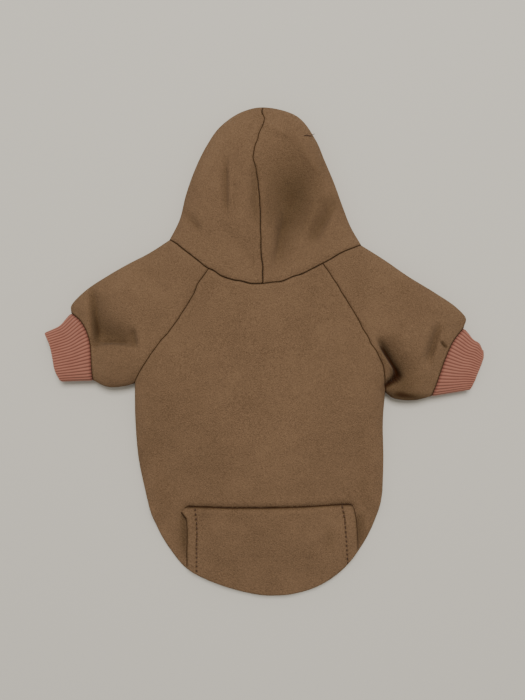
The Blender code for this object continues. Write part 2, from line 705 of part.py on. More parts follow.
def cuff_body(lines, side):
    """A ribbed cuff as a closed tube wall with ribs along it."""
    seam, end = lines["cuff_seam"][side], lines["cuff_end"][side]
    low, high = lines["cuff_low_edge"][side], lines["cuff_top_edge"][side]
    near = [s * TOP_ROLL for s in (0.004, 0.012, 0.03, 0.06, 0.10, 0.17, 0.26, 0.38)]
    count = 40
    seam = divide(seam, count, start=near, end=near)
    end = divide(end, count, start=near, end=near)
    low, high = divide(low, CUFF_RUNS), divide(high, CUFF_RUNS)
    low[0], low[-1], high[0], high[-1] = seam[0], end[0], seam[-1], end[-1]
    flat = fill(seam, end, low, high)
    over = raise_points(lines, flat, TOP)
    below = raise_points(lines, flat, UNDER)
    loops = []
    for j in range(CUFF_RUNS + 1):
        loop = np.vstack([over[:, j], below[::-1, j][1:-1], over[:1, j]])
        marks = np.linspace(0.0, lengths_along(loop)[-1], 2 * RIBS + 1)
        loops.append(at_lengths(loop, marks)[:-1])
    base = np.stack(loops, 1)
    around = np.roll(base, -1, 0) - np.roll(base, 1, 0)
    along = np.gradient(base, axis=1)
    along[..., 2] = 0.0
    way = np.cross(around, along)
    way = way / np.linalg.norm(way, axis=2)[..., None]
    middle = base.mean(0)[None]
    if ((base - middle) * way).sum() < 0.0:
        way = -way
    base[:, 0] += SEAM_GAP * along[:, 0] / np.linalg.norm(along[:, 0], axis=1)[:, None]
    crest = np.where(np.arange(2 * RIBS) % 2 == 0, 0.0, -RIB_DEPTH)[:, None, None]
    outer = base + way * crest
    inner = base - way * CUFF_WALL
    outer[..., 2] = np.maximum(outer[..., 2], 0.0)
    inner[..., 2] = np.maximum(inner[..., 2], 0.0)
    rows, columns = base.shape[:2]
    count = rows * columns
    rings = []
    for i in range(rows):
        k = (i + 1) % rows
        for j in range(columns - 1):
            a, b, c, d = i * columns + j, k * columns + j, k * columns + j + 1, i * columns + j + 1
            rings.append([a, b, c, d])
            rings.append([d + count, c + count, b + count, a + count])
        a, b = i * columns, k * columns
        rings.append([b, a, a + count, b + count])
        a, b = a + columns - 1, b + columns - 1
        rings.append([a, b, b + count, a + count])
    return np.vstack([outer.reshape(-1, 3), inner.reshape(-1, 3)]), rings


def pocket_body(lines):
    """The patch pocket: sewn along its top and in the hem, open at its sides."""
    left = through(side_points(POCKET_SIDE, LEFT, BODY_WIDTH, BACK_LENGTH))
    right = through(side_points(POCKET_SIDE, RIGHT, BODY_WIDTH, BACK_LENGTH))
    tail = lines["tail"]
    run = np.gradient(tail, axis=0)
    run = run / np.linalg.norm(run, axis=1)[:, None]
    rim = tail + np.stack([-run[:, 1], run[:, 0]], 1) * POCKET_EDGE_CLEAR
    ends = []
    for line in (left, right):
        way = line[-1] - line[-2]
        way = way / np.linalg.norm(way)
        offset = rim - line[-1]
        off_line = np.abs(offset[:, 0] * way[1] - offset[:, 1] * way[0])
        ahead = offset @ way
        off_line[ahead < 0.0] = np.inf
        ends.append(int(np.argmin(off_line)))
    low = divide(rim[ends[0]:ends[1] + 1], POCKET_ACROSS)
    high = divide(np.stack([left[0], right[0]]), POCKET_ACROSS)
    first = divide(np.vstack([left, low[:1]]), POCKET_ALONG)
    last = divide(np.vstack([right, low[-1:]]), POCKET_ALONG)
    flat = fill(high, low, first, last)
    rows, columns = flat.shape[:2]
    v = np.linspace(0.0, 1.0, columns)[None, :]
    arch = (np.sin(math.pi * v) ** 1.2) * np.ones((rows, 1))
    under = height(lines, flat, TOP) + POCKET_SEAT + POCKET_BULGE * arch
    inner = np.concatenate([flat, under[..., None]], 2)
    slope_u = np.gradient(inner, axis=0)
    slope_v = np.gradient(inner, axis=1)
    way = np.cross(slope_u, slope_v)
    way = way * np.sign(way[..., 2:3])
    way = way / np.linalg.norm(way, axis=2)[..., None]
    outer = inner + way * POCKET_WALL
    count = rows * columns
    rings, rim_ring = [], []
    for i in range(rows - 1):
        for j in range(columns - 1):
            a, b = i * columns + j, (i + 1) * columns + j
            rings.append([a, b, b + 1, a + 1])
            rings.append([a + 1 + count, b + 1 + count, b + count, a + count])
    rim_ring += [i * columns for i in range(rows)]
    rim_ring += [(rows - 1) * columns + j for j in range(1, columns)]
    rim_ring += [i * columns + columns - 1 for i in range(rows - 2, -1, -1)]
    rim_ring += [j for j in range(columns - 2, 0, -1)]
    for k, a in enumerate(rim_ring):
        b = rim_ring[(k + 1) % len(rim_ring)]
        rings.append([b, a, a + count, b + count])
    return np.vstack([outer.reshape(-1, 3), inner.reshape(-1, 3)]), rings


def make_material(name, colour, roughness):
    """A cloth surface with one colour."""
    material = bpy.data.materials.new(name)
    material.use_nodes = True
    shader = material.node_tree.nodes["Principled BSDF"]
    shader.inputs["Base Color"].default_value = (*colour, 1.0)
    shader.inputs["Roughness"].default_value = roughness
    shader.inputs["Metallic"].default_value = 0.0
    return material


def place_object(name, points, rings, material):
    """Makes one closed solid with its faces outward and smooth shading."""
    mesh = bpy.data.meshes.new(name)
    mesh.from_pydata([tuple(p) for p in points], [], rings)
    shape = bmesh.new()
    shape.from_mesh(mesh)
    bmesh.ops.remove_doubles(shape, verts=shape.verts[:], dist=0.000002)
    bmesh.ops.triangulate(shape, faces=shape.faces[:])
    bmesh.ops.recalc_face_normals(shape, faces=shape.faces[:])
    if shape.calc_volume(signed=True) < 0.0:
        bmesh.ops.reverse_faces(shape, faces=shape.faces[:])
    shape.to_mesh(mesh)
    shape.free()
    mesh.shade_smooth()
    mesh.set_sharp_from_angle(angle=math.radians(40.0))
    mesh.materials.append(material)
    item = bpy.data.objects.new(name, mesh)
    bpy.context.scene.collection.objects.link(item)
    return item


def main():
    """Builds the garment and sets it on its origin."""
    clear_scene()
    lines = build_lines()
    shared = cut_points(lines)
    cloth = Cloth()
    add_back(cloth, lines, shared)
    add_chest(cloth, lines, shared)
    for side in (LEFT, RIGHT):
        add_sleeve(cloth, lines, shared, side)
        add_hood_half(cloth, lines, shared, side)
    normals = cloth.normals()
    fleece = make_material("fleece", (0.168, 0.102, 0.053), 0.95)
    rib_knit = make_material("rib_knit", (0.290, 0.124, 0.078), 0.90)
    bodies = {}
    for panel in ("back_panel", "chest_panel", "left_sleeve", "right_sleeve",
                  "hood_left", "hood_right"):
        bodies[panel] = (*panel_body(cloth, panel, normals), fleece)
    bodies["left_cuff"] = (*cuff_body(lines, LEFT), rib_knit)
    bodies["right_cuff"] = (*cuff_body(lines, RIGHT), rib_knit)
    bodies["pocket"] = (*pocket_body(lines), fleece)
    every = np.vstack([points for points, rings, material in bodies.values()])
    low, high = every.min(0), every.max(0)
    shift = np.array([-(low[0] + high[0]) / 2.0, -(low[1] + high[1]) / 2.0, -low[2]])
    for name, (points, rings, material) in bodies.items():
        place_object(name, points + shift, rings, material)


main()
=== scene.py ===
"""Finished look of a pet sweatshirt with a hood, lying flat with its back up.

The garment is drafted as a tailor would draft it: seam, fold and hem lines
seen from above, a lying height over every point, and panels of thick cloth
filled in between the lines. Ribbed cuffs, pocket hems, topstitching and a
loose thread are made in full size. Lengths are in metres.
"""
from __future__ import annotations

import logging
import math
from dataclasses import dataclass, field
from enum import Enum
from typing import Sequence

import bpy
import numpy as np
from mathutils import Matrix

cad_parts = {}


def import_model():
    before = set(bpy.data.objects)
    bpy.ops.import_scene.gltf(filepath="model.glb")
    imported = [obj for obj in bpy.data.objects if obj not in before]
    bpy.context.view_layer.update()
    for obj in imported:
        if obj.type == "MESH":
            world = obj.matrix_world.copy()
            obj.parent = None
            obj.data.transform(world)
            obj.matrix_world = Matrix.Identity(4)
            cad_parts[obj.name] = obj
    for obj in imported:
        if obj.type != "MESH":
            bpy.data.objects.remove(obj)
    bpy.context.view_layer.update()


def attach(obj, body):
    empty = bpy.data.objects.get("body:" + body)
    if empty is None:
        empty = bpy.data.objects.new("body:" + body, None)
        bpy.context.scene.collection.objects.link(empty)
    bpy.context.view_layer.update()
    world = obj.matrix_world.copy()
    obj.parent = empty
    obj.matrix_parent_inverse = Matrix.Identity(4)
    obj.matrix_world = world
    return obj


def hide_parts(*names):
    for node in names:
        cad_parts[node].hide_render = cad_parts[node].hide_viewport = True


log = logging.getLogger("sweatshirt")

Array = np.ndarray
Colour = tuple[float, float, float, float]
#: Noise cells to the metre, finer layers and roughness.
Cells = tuple[float, float, float]

#: How many short runs a smooth line has between two of its points.
RUNS_PER_SPAN = 40
#: How far ahead and behind a line's direction is felt.
SHORT_STEP = 1e-4
#: Soft unevenness: the seed, the shortest and the longest wave, and how many waves.
SWELL = (11, 0.030, 0.090, 28)
CRUMPLE = (23, 0.009, 0.022, 28)
PUCKER = (37, 0.0030, 0.0075, 40)
WANDER = ((5, 0.011, 0.032, 28), (6, 0.011, 0.032, 28))
#: How much faster a fold's painted shade falls off than its dent.
SHADE_FALL = 1.4
#: The most of a grid's last step that a seam gap takes.
MOST_SHIFT = 0.4
#: How far a pocket's side line is carried on past its ends.
RUN_ON = 0.02
#: Places to the metre: points that round to the same place are one point.
PLACES = 5.0e5
#: The most of a line that may crowd towards one of its ends.
MOST_ROLL = 0.45


class Side(Enum):
    """The two sides of the garment as seen from above, hood at the top."""

    LEFT = 0
    RIGHT = 1

    @property
    def word(self) -> str:
        """The side as a plain word."""
        return self.name.lower()

    @property
    def inward(self) -> float:
        """Turns a body edge's left-hand vector to the garment's inside."""
        return 1.0 if self is Side.LEFT else -1.0


class Face(Enum):
    """The face of the lying garment that a stretch of cloth belongs to."""

    TOP = 1
    UNDER = -1


#: A left point and its fellow on the right, each by its shares across and along.
Row = tuple[float, float, float, float]


@dataclass(frozen=True)
class Loft:
    """A wide swell or hollow of the lying garment, in shares of its sizes."""

    name: str
    across: float
    along: float
    reach_across: float
    reach_along: float
    rise: float
    # How much painted shade darkens the cloth over the hollow or swell.
    shade: float = 0.0


@dataclass(frozen=True)
class Fold:
    """A dent, crease or ridge of the upper side, in shares of its sizes.

    A positive lean makes the side that its turn's left hand points to gentle
    and the other side steep. The shade is how much painted shade darkens the cloth there.
    """

    name: str
    across: float
    along: float
    turn: float
    length: float
    width: float
    rise: float
    lean: float = 0.0
    shade: float = 0.0


#: Lines in shares of the hood's width and length.
HOOD_LINES: dict[str, tuple[Row, ...]] = {
    "hood_edge": (
        (-0.4904, 0.2503, 0.5096, 0.2205), (-0.4395, 0.3629, 0.4554, 0.3232),
        (-0.4089, 0.498, 0.4172, 0.4291), (-0.3656, 0.6344, 0.3726, 0.5649),
        (-0.3057, 0.7715, 0.3248, 0.6874), (-0.2325, 0.8861, 0.2771, 0.8099),
        (-0.121, 0.9709, 0.1815, 0.9457), (-0.0006, 1.0, -0.0006, 1.0),
    ),
    "neck_centre": (
        (-0.0032, 0.0, -0.0032, 0.0), (-0.0764, 0.0013, 0.0828, 0.0093),
        (-0.1529, 0.0159, 0.172, 0.0424), (-0.2229, 0.0464, 0.242, 0.0768),
        (-0.2796, 0.0768, 0.3038, 0.1113),
    ),
    "neck_shoulder": (
        (-0.2796, 0.0768, 0.3038, 0.1113), (-0.3777, 0.1556, 0.3854, 0.1563),
        (-0.4904, 0.2503, 0.5096, 0.2205),
    ),
    "front_neck_shoulder": (
        (-0.4904, 0.2503, 0.5096, 0.2205), (-0.3822, 0.098, 0.4076, 0.098),
        (-0.2675, -0.0344, 0.293, -0.0079),
    ),
    "front_neck_centre": (
        (-0.2675, -0.0344, 0.293, -0.0079), (-0.1465, -0.104, 0.1656, -0.0907),
        (-0.0127, -0.1377, 0.0127, -0.1377),
    ),
    "face_edge": (
        (-0.0127, -0.1377, 0.0127, -0.1377), (-0.0701, 0.0053, 0.0701, 0.0053),
        (-0.1975, 0.2172, 0.1975, 0.2172), (-0.2357, 0.4159, 0.2357, 0.4159),
        (-0.1783, 0.6146, 0.1783, 0.6146), (0.0, 0.7338, 0.0, 0.7338),
    ),
}
#: Lines in shares of the span of the sleeves and the length of the back.
ARM_LINES: dict[str, tuple[Row, ...]] = {
    "shoulder_fold": (
        (-0.2188, 0.1543, 0.2273, 0.1359), (-0.2645, 0.1106, 0.2798, 0.0869),
        (-0.3105, 0.0751, 0.334, 0.0308), (-0.3563, 0.0359, 0.3935, -0.0232),
        (-0.412, -0.019, 0.4437, -0.0736), (-0.443, -0.069, 0.465, -0.111),
        (-0.4425, -0.09, 0.459, -0.1403),
    ),
    "underarm_fold": (
        (-0.2926, -0.3233, 0.2756, -0.3518), (-0.3182, -0.3331, 0.2955, -0.3722),
        (-0.3551, -0.3351, 0.3409, -0.3788), (-0.3864, -0.315, 0.3787, -0.3665),
    ),
    "cuff_seam": (
        (-0.3864, -0.315, 0.3787, -0.3665), (-0.3876, -0.2265, 0.3927, -0.3045),
        (-0.3949, -0.172, 0.4099, -0.24), (-0.413, -0.1245, 0.43, -0.186),
        (-0.4425, -0.09, 0.459, -0.1403),
    ),
    "cuff_top_edge": (
        (-0.4425, -0.09, 0.459, -0.1403), (-0.4542, -0.11, 0.47, -0.1586),
        (-0.468, -0.132, 0.4814, -0.179), (-0.4841, -0.1447, 0.4938, -0.1915),
        (-0.5, -0.1553, 0.5, -0.211),
    ),
    "cuff_low_edge": (
        (-0.3864, -0.315, 0.3787, -0.3665), (-0.4261, -0.316, 0.4238, -0.3555),
        (-0.459, -0.318, 0.466, -0.3455),
    ),
    "cuff_end": (
        (-0.459, -0.318, 0.466, -0.3455), (-0.4704, -0.2775, 0.4758, -0.3102),
        (-0.4773, -0.2347, 0.4862, -0.2742), (-0.4861, -0.1918, 0.4965, -0.238),
        (-0.5, -0.1553, 0.5, -0.211),
    ),
}
#: Lines in shares of the width of the body and the length of the back.
BODY_LINES: dict[str, tuple[Row, ...]] = {
    "raglan": (
        (-0.2195, 0.0473, 0.2385, 0.0686), (-0.2665, -0.0114, 0.305, -0.0212),
        (-0.321, -0.0971, 0.375, -0.12), (-0.391, -0.1755, 0.421, -0.1951),
        (-0.449, -0.2404, 0.467, -0.2629), (-0.515, -0.3233, 0.485, -0.3518),
    ),
    "front_raglan": (
        (-0.21, -0.0212, 0.23, -0.0049), (-0.26, -0.0865, 0.3, -0.1029),
        (-0.36, -0.1804, 0.395, -0.2171), (-0.515, -0.3233, 0.485, -0.3518),
    ),
    "side_fold": (
        (-0.515, -0.3233, 0.485, -0.3518), (-0.5105, -0.4433, 0.4755, -0.4433),
        (-0.4955, -0.5718, 0.4765, -0.5718), (-0.459, -0.7016, 0.4705, -0.6759),
    ),
    "tail_edge": (
        (-0.459, -0.7016, 0.4705, -0.6759), (-0.4175, -0.7906, 0.4375, -0.7682),
        (-0.365, -0.8588, 0.3825, -0.8498), (-0.3, -0.9171, 0.3035, -0.9241),
        (-0.163, -0.969, 0.185, -0.9804), (0.0245, -1.0, 0.0245, -1.0),
    ),
    "belly_hem": (
        (-0.3, -0.6253, 0.3, -0.609), (-0.15, -0.56, 0.15, -0.5518),
        (0.0, -0.5396, 0.0, -0.5396),
    ),
    "pocket_side": (
        (-0.308, -0.717, 0.353, -0.7095), (-0.299, -0.79, 0.362, -0.75),
        (-0.3, -0.86, 0.366, -0.8),
    ),
}
#: The seam over the top of the hood, from the neck to the crown.
HOOD_SEAM = (
    (-0.0032, 0.0), (-0.0134, 0.2258), (-0.0185, 0.4152), (-0.0312, 0.5742),
    (-0.053, 0.6795), (-0.047, 0.733), (-0.029, 0.785), (-0.024, 0.82),
    (-0.003, 0.87), (0.005, 0.915), (-0.006, 0.955), (-0.0006, 1.0),
)
# A row's last number, where given, is painted shade: how much the colour darkens where shade falls
# in the hollow.
LOFTS = (
    Loft("hood left half", -0.180, 0.330, 0.200, 0.200, 0.32),
    Loft("hood right half", 0.200, 0.400, 0.160, 0.160, 0.30),
    Loft("hood hollow", 0.108, 0.275, 0.094, 0.135, -0.60),
    # Painted shade alone, with no rise.
    Loft("hood hollow painted shade", 0.112, 0.300, 0.090, 0.112, 0.0, 0.52),
    Loft("hood right sag", 0.135, 0.270, 0.160, 0.190, -0.06, 0.14),
    Loft("left sleeve", -0.560, -0.100, 0.180, 0.150, 0.20),
    Loft("left sleeve slope", -0.610, -0.155, 0.077, 0.051, -0.16, 0.20),
    Loft("left sleeve puff", -0.580, -0.262, 0.085, 0.044, 0.12),
    Loft("right sleeve", 0.560, -0.150, 0.180, 0.150, 0.20),
    Loft("right underarm", 0.556, -0.315, 0.054, 0.050, -0.16, 0.26),
    # Painted shade alone, with no rise.
    Loft("right underarm painted shade", 0.532, -0.334, 0.070, 0.044, 0.0, 0.31),
    Loft("right underarm puff", 0.422, -0.258, 0.031, 0.051, 0.05),
    Loft("left cuff", -0.820, -0.200, 0.110, 0.160, -0.34),
    Loft("right cuff", 0.820, -0.240, 0.110, 0.160, -0.34),
)
# A row's last number, where given, is painted shade darkening the cloth in the fold.
FOLDS = (
    Fold("hood hollow tail", 0.069, 0.152, 80, 0.110, 0.030, -0.28, -0.3, 0.34),
    Fold("hood right crease", 0.246, 0.212, 60, 0.112, 0.028, -0.28, 0.3, 0.33),
    Fold("hood right ridge", 0.174, 0.195, 70, 0.105, 0.027, 0.10),
    Fold("crown ridge", 0.071, 0.512, -26, 0.068, 0.022, 0.10),
    Fold("crown ridge side", 0.178, 0.426, -59, 0.089, 0.022, 0.11),
    Fold("hood left crease", -0.150, 0.320, -89, 0.105, 0.012, -0.14, -0.3, 0.26),
    Fold("hood left ridge", -0.126, 0.344, 89, 0.125, 0.021, 0.11),
    Fold("hood left dent", -0.285, 0.202, -54, 0.046, 0.018, -0.17, 0.0, 0.24),
    Fold("hood left faint crease", -0.111, 0.130, -53, 0.094, 0.023, -0.08, 0.3, 0.04),
    Fold("seam side dip", -0.033, 0.293, -89, 0.125, 0.020, -0.14, 0.0, 0.26),
    Fold("left sleeve trough", -0.662, -0.110, -84, 0.090, 0.033, -0.28, 0.6, 0.30),
    Fold("left sleeve crease", -0.677, -0.110, -83, 0.125, 0.015, -0.16, 0.2, 0.52),
    Fold("left sleeve hollow", -0.590, -0.190, -2, 0.072, 0.030, -0.38, 0.7, 0.32),
    Fold("left sleeve tuck", -0.638, -0.199, 10, 0.042, 0.009, -0.10, 0.3, 0.20),
    Fold("left sleeve tuck end", -0.550, -0.200, -9, 0.042, 0.009, -0.10, 0.3, 0.24),
    Fold("left sleeve nick", -0.509, -0.182, -80, 0.036, 0.016, -0.14, -0.3, 0.42),
    Fold("left shoulder dent", -0.454, 0.022, -31, 0.063, 0.035, -0.09, 0.0, 0.04),
    Fold("left shoulder ridge", -0.510, -0.032, -27, 0.067, 0.035, 0.06),
    Fold("right underarm fold", 0.508, -0.246, -58, 0.080, 0.028, -0.34, 0.6, 0.32),
    Fold("right underarm crease", 0.494, -0.246, -58, 0.080, 0.013, -0.34, 0.3, 0.95),
    Fold("right underarm hook", 0.508, -0.314, 37, 0.038, 0.013, -0.30, -0.3, 0.85),
    Fold("right underarm pit", 0.522, -0.298, -60, 0.024, 0.022, -0.20, 0.0, 0.60),
    Fold("right underarm tuck", 0.490, -0.328, 66, 0.021, 0.009, -0.10, 0.0, 0.34),
    # Painted shade alone, with no rise: the band by the raglan seam and the dark low rim of the
    # right sleeve.
    Fold("right underarm band", 0.468, -0.245, -73, 0.052, 0.019, 0.0, 0.0, 0.24),
    Fold("right sleeve low rim", 0.573, -0.366, -7, 0.079, 0.018, 0.0, 0.0, 0.62),
    Fold("right cuff crease", 0.673, -0.198, 72, 0.075, 0.017, -0.24, 0.4, 0.38),
    Fold("right cuff pleat", 0.712, -0.201, -42, 0.021, 0.007, -0.10, 0.0, 0.75),
    Fold("right shoulder dent", 0.545, -0.024, -73, 0.038, 0.035, -0.08, 0.0, 0.05),
    # Painted shadow alone, with no rise, on the back beside the pocket's side edges.
    Fold("pocket left shade", -0.310, -0.805, -88, 0.090, 0.017, 0.0, -0.4, 0.52),
    Fold("pocket right shade", 0.373, -0.788, -83, 0.066, 0.023, 0.0, 0.5, 0.46),
    Fold("pocket dent", 0.255, -0.812, 90, 0.052, 0.024, -0.05, 0.0, 0.16),
    Fold("back left band", -0.209, -0.417, 86, 0.106, 0.054, -0.05),
)


class Curve:
    """A finely divided open line with distances along it."""

    def __init__(self, points: Array) -> None:
        """Keeps the points.

        Args:
            points: The line's points, one a row.
        """
        self.points = np.asarray(points, float)
        runs = np.linalg.norm(np.diff(self.points, axis=0), axis=1)
        self.run = np.concatenate([[0.0], np.cumsum(runs)])

    @classmethod
    def through(cls, knots: Array, per_span: int = RUNS_PER_SPAN) -> "Curve":
        """Draws a smooth line through a few knots.

        Args:
            knots: The points that the line passes through.
            per_span: How many short runs each span gets.

        Returns:
            The smooth line.
        """
        knots = np.asarray(knots, float)
        if len(knots) == 2:
            share = np.linspace(0.0, 1.0, per_span + 1)[:, None]
            return cls(knots[0] * (1.0 - share) + knots[1] * share)
        every = np.vstack([2.0 * knots[0] - knots[1], knots, 2.0 * knots[-1] - knots[-2]])
        found = []
        for k in range(1, len(every) - 2):
            p0, p1, p2, p3 = every[k - 1:k + 3]
            steps = (p1 - p0, p2 - p1, p3 - p2)
            t01, t12, t23 = (math.sqrt(np.linalg.norm(step)) for step in steps)
            m1 = p2 - p1 + t12 * ((p1 - p0) / t01 - (p2 - p0) / (t01 + t12))
            m2 = p2 - p1 + t12 * ((p3 - p2) / t23 - (p3 - p1) / (t12 + t23))
            t = np.linspace(0.0, 1.0, per_span, endpoint=False)[:, None]
            found.append(
                (2 * t**3 - 3 * t**2 + 1) * p1 + (t**3 - 2 * t**2 + t) * m1
                + (3 * t**2 - 2 * t**3) * p2 + (t**3 - t**2) * m2
            )
        found.append(knots[-1:])
        return cls(np.vstack(found))

    @property
    def length(self) -> float:
        """The whole distance along the line."""
        return float(self.run[-1])

    def at(self, distances: Array) -> Array:
        """Points at the given distances from the start."""
        return np.stack(
            [np.interp(distances, self.run, column) for column in self.points.T], 1
        )

    def reversed(self) -> "Curve":
        """The same line from its other end."""
        return Curve(self.points[::-1])

    def sides(self, distances: Array) -> Array:
        """Unit vectors to the line's left at the given distances.

        Args:
            distances: How far along the line.

        Returns:
            One vector for each distance.
        """
        ahead = self.at(np.minimum(distances + SHORT_STEP, self.length))
        behind = self.at(np.maximum(distances - SHORT_STEP, 0.0))
        way = unit(ahead - behind)
        return np.stack([-way[:, 1], way[:, 0]], 1)

    def graded(
        self, count: int, start_roll: float = 0.0, end_roll: float = 0.0, crowd: int = 0
    ) -> Array:
        """Cuts the line into runs that crowd towards rolled ends.

        Args:
            count: How many runs to make.
            start_roll: Length over which they crowd at the start, or 0.
            end_roll: Length over which they crowd at the end, or 0.
            crowd: How many runs a rolled end takes, or 0 for a sixth.

        Returns:
            The points between the runs, ends included.
        """
        total = self.length
        start_roll, end_roll = (min(roll, MOST_ROLL * total) for roll in (start_roll, end_roll))
        crowd = crowd or max(4, count // 6)
        first, last = (
            roll * (np.arange(crowd) / crowd) ** 3 if roll else np.empty(0)
            for roll in (start_roll, end_roll)
        )
        middle = count + 1 - len(first) - len(last)
        even = np.linspace(start_roll, total - end_roll, middle)
        return self.at(np.concatenate([first, even, total - last[::-1]]))


def distance_to(line: Array, points: Array) -> Array:
    """Least distance from each point to a line of short straight runs.

    Args:
        line: The line's points, seen from above.
        points: The places to measure from.

    Returns:
        One distance for each place.
    """
    flat = points.reshape(-1, 2)
    best = np.full(len(flat), np.inf)
    for a, b in zip(line[:-1], line[1:]):
        step = b - a
        size = max(float(step @ step), 1e-18)
        away = flat - a
        share = np.clip((away @ step) / size, 0.0, 1.0)
        away -= share[:, None] * step
        best = np.minimum(best, away[:, 0] ** 2 + away[:, 1] ** 2)
    return np.sqrt(best).reshape(points.shape[:-1])


def ease(value: Array) -> Array:
    """A smooth step from 0 to 1."""
    value = np.clip(value, 0.0, 1.0)
    return value * value * (3.0 - 2.0 * value)


def bell(value: Array, width: float) -> Array:
    """A smooth bump that is 1 at a value of 0 and falls off over a width."""
    return np.exp(-((value / width) ** 2))


def bow(gap: Array, reach: float, power: float = 2.0) -> Array:
    """Rise of a rolled edge, from 0 at its rim to 1 where it levels out.

    Args:
        gap: Distance of each point from the rim.
        reach: How far in from the rim the edge is rolled.
        power: 2 for a round roll, more for a fuller one.

    Returns:
        The rise at each point.
    """
    inset = np.clip(1.0 - gap / reach, 0.0, 1.0)
    return (1.0 - inset**power) ** (1.0 / power)


def unit(ways: Array, least: float = 0.0) -> Array:
    """Vectors shortened or stretched to one unit of length.

    Args:
        ways: The vectors, along the last axis.
        least: The least length that a vector is divided by.

    Returns:
        The unit vectors.
    """
    return ways / np.maximum(np.linalg.norm(ways, axis=-1, keepdims=True), least)


def facing(points: Array, quads: Array) -> Array:
    """Each face's upright vector, twice as long as the face is large."""
    a, b, c, d = (points[quads[:, k]] for k in range(4))
    return np.cross(c - a, d - b)


def grid_quads(rows: int, columns: int) -> Array:
    """Corner numbers of the faces of a grid of points."""
    index = np.arange(rows * columns).reshape(rows, columns)
    corners = (index[:-1, :-1], index[1:, :-1], index[1:, 1:], index[:-1, 1:])
    return np.stack([corner.ravel() for corner in corners], 1)


def mirrored(left: Array, right: Array) -> Array:
    """One line from a left half and a right half that share their last point."""
    return np.vstack([left, right[-2::-1]])


def fill(low: Array, high: Array, first: Array, last: Array) -> Array:
    """Fills a patch between four edge lines.

    Args:
        low: Points of the edge where the second share is 0.
        high: Points of the edge where the second share is 1.
        first: Points of the edge where the first share is 0.
        last: Points of the edge where the first share is 1.

    Returns:
        A grid of points that meets all four edges.
    """
    ul, uh, vf, vl = (run / run[-1] for run in (Curve(x).run for x in (low, high, first, last)))
    ul, uh, vf, vl = ul[:, None], uh[:, None], vf[None, :], vl[None, :]
    du, dv = uh - ul, vl - vf
    u = (ul + du * vf) / (1.0 - du * dv)
    v = vf + dv * u
    u, v = u[..., None], v[..., None]
    grid = (
        (1 - v) * low[:, None] + v * high[:, None]
        + (1 - u) * first[None, :] + u * last[None, :]
        - (1 - u) * (1 - v) * low[0] - u * (1 - v) * low[-1]
        - (1 - u) * v * high[0] - u * v * high[-1]
    )
    grid[:, 0], grid[:, -1] = low, high
    grid[0, :], grid[-1, :] = first, last
    return grid


class Ripple:
    """A soft random surface made of a few crossed waves."""

    def __init__(self, seed: int, shortest: float, longest: float, count: int) -> None:
        """Chooses the waves.

        Args:
            seed: Fixes the choice, so that each run is the same.
            shortest: The shortest wave's length.
            longest: The longest wave's length.
            count: How many waves are summed.
        """
        chance = np.random.default_rng(seed)
        size = shortest * (longest / shortest) ** chance.random(count)
        turn = chance.random(count) * 2.0 * math.pi
        self.waves = 2.0 * math.pi / size[:, None] * np.stack([np.cos(turn), np.sin(turn)], 1)
        self.starts = chance.random(count) * 2.0 * math.pi
        self.share = math.sqrt(2.0 / count)

    def at(self, points: Array) -> Array:
        """The surface's rise at each point, mostly between -1 and 1.

        Args:
            points: Places seen from above.

        Returns:
            One rise for each place.
        """
        total = np.zeros(points.shape[:-1])
        for wave, start in zip(self.waves, self.starts):
            total += np.cos(points @ wave + start)
        return total * self.share


@dataclass
class GarmentSizes:
    """The named sizes that the whole garment is drafted from."""

    body_width: float = 0.200
    back_length: float = 0.245
    hood_width: float = 0.157
    hood_length: float = 0.151
    sleeve_span: float = 0.352
    wall: float = 0.0022
    seam_gap: float = 0.00008
    hem_width: float = 0.010
    hem_layers: float = 2.0
    face_hem_width: float = 0.009
    fold_level: float = 0.0070
    body_loft: float = 0.0170
    top_roll: float = 0.026
    under_roll: float = 0.008
    side_seam_inset: float = 0.010
    side_seam_reach: float = 2.5
    tail_slope: float = 0.075
    tail_corner_loft: float = 0.0090
    tail_corner_reach: float = 0.016
    edge_hold: float = 0.010
    roll_power: float = 2.4
    tail_lip: float = 0.0017
    groove_depth: float = 0.00055
    groove_width: float = 0.0010
    puff: float = 0.0004
    puff_place: float = 0.0042
    puff_width: float = 0.0026
    seam_wander: float = 0.00026
    wander_hold: float = 0.008
    swell_rise: float = 0.00020
    crumple_rise: float = 0.00006
    pucker_rise: float = 0.00011
    pucker_reach: float = 0.0035
    crease_share: float = 0.46
    hem_step: float = 0.0015
    pocket_shoulders: tuple[float, float] = (0.0022, 0.0038)


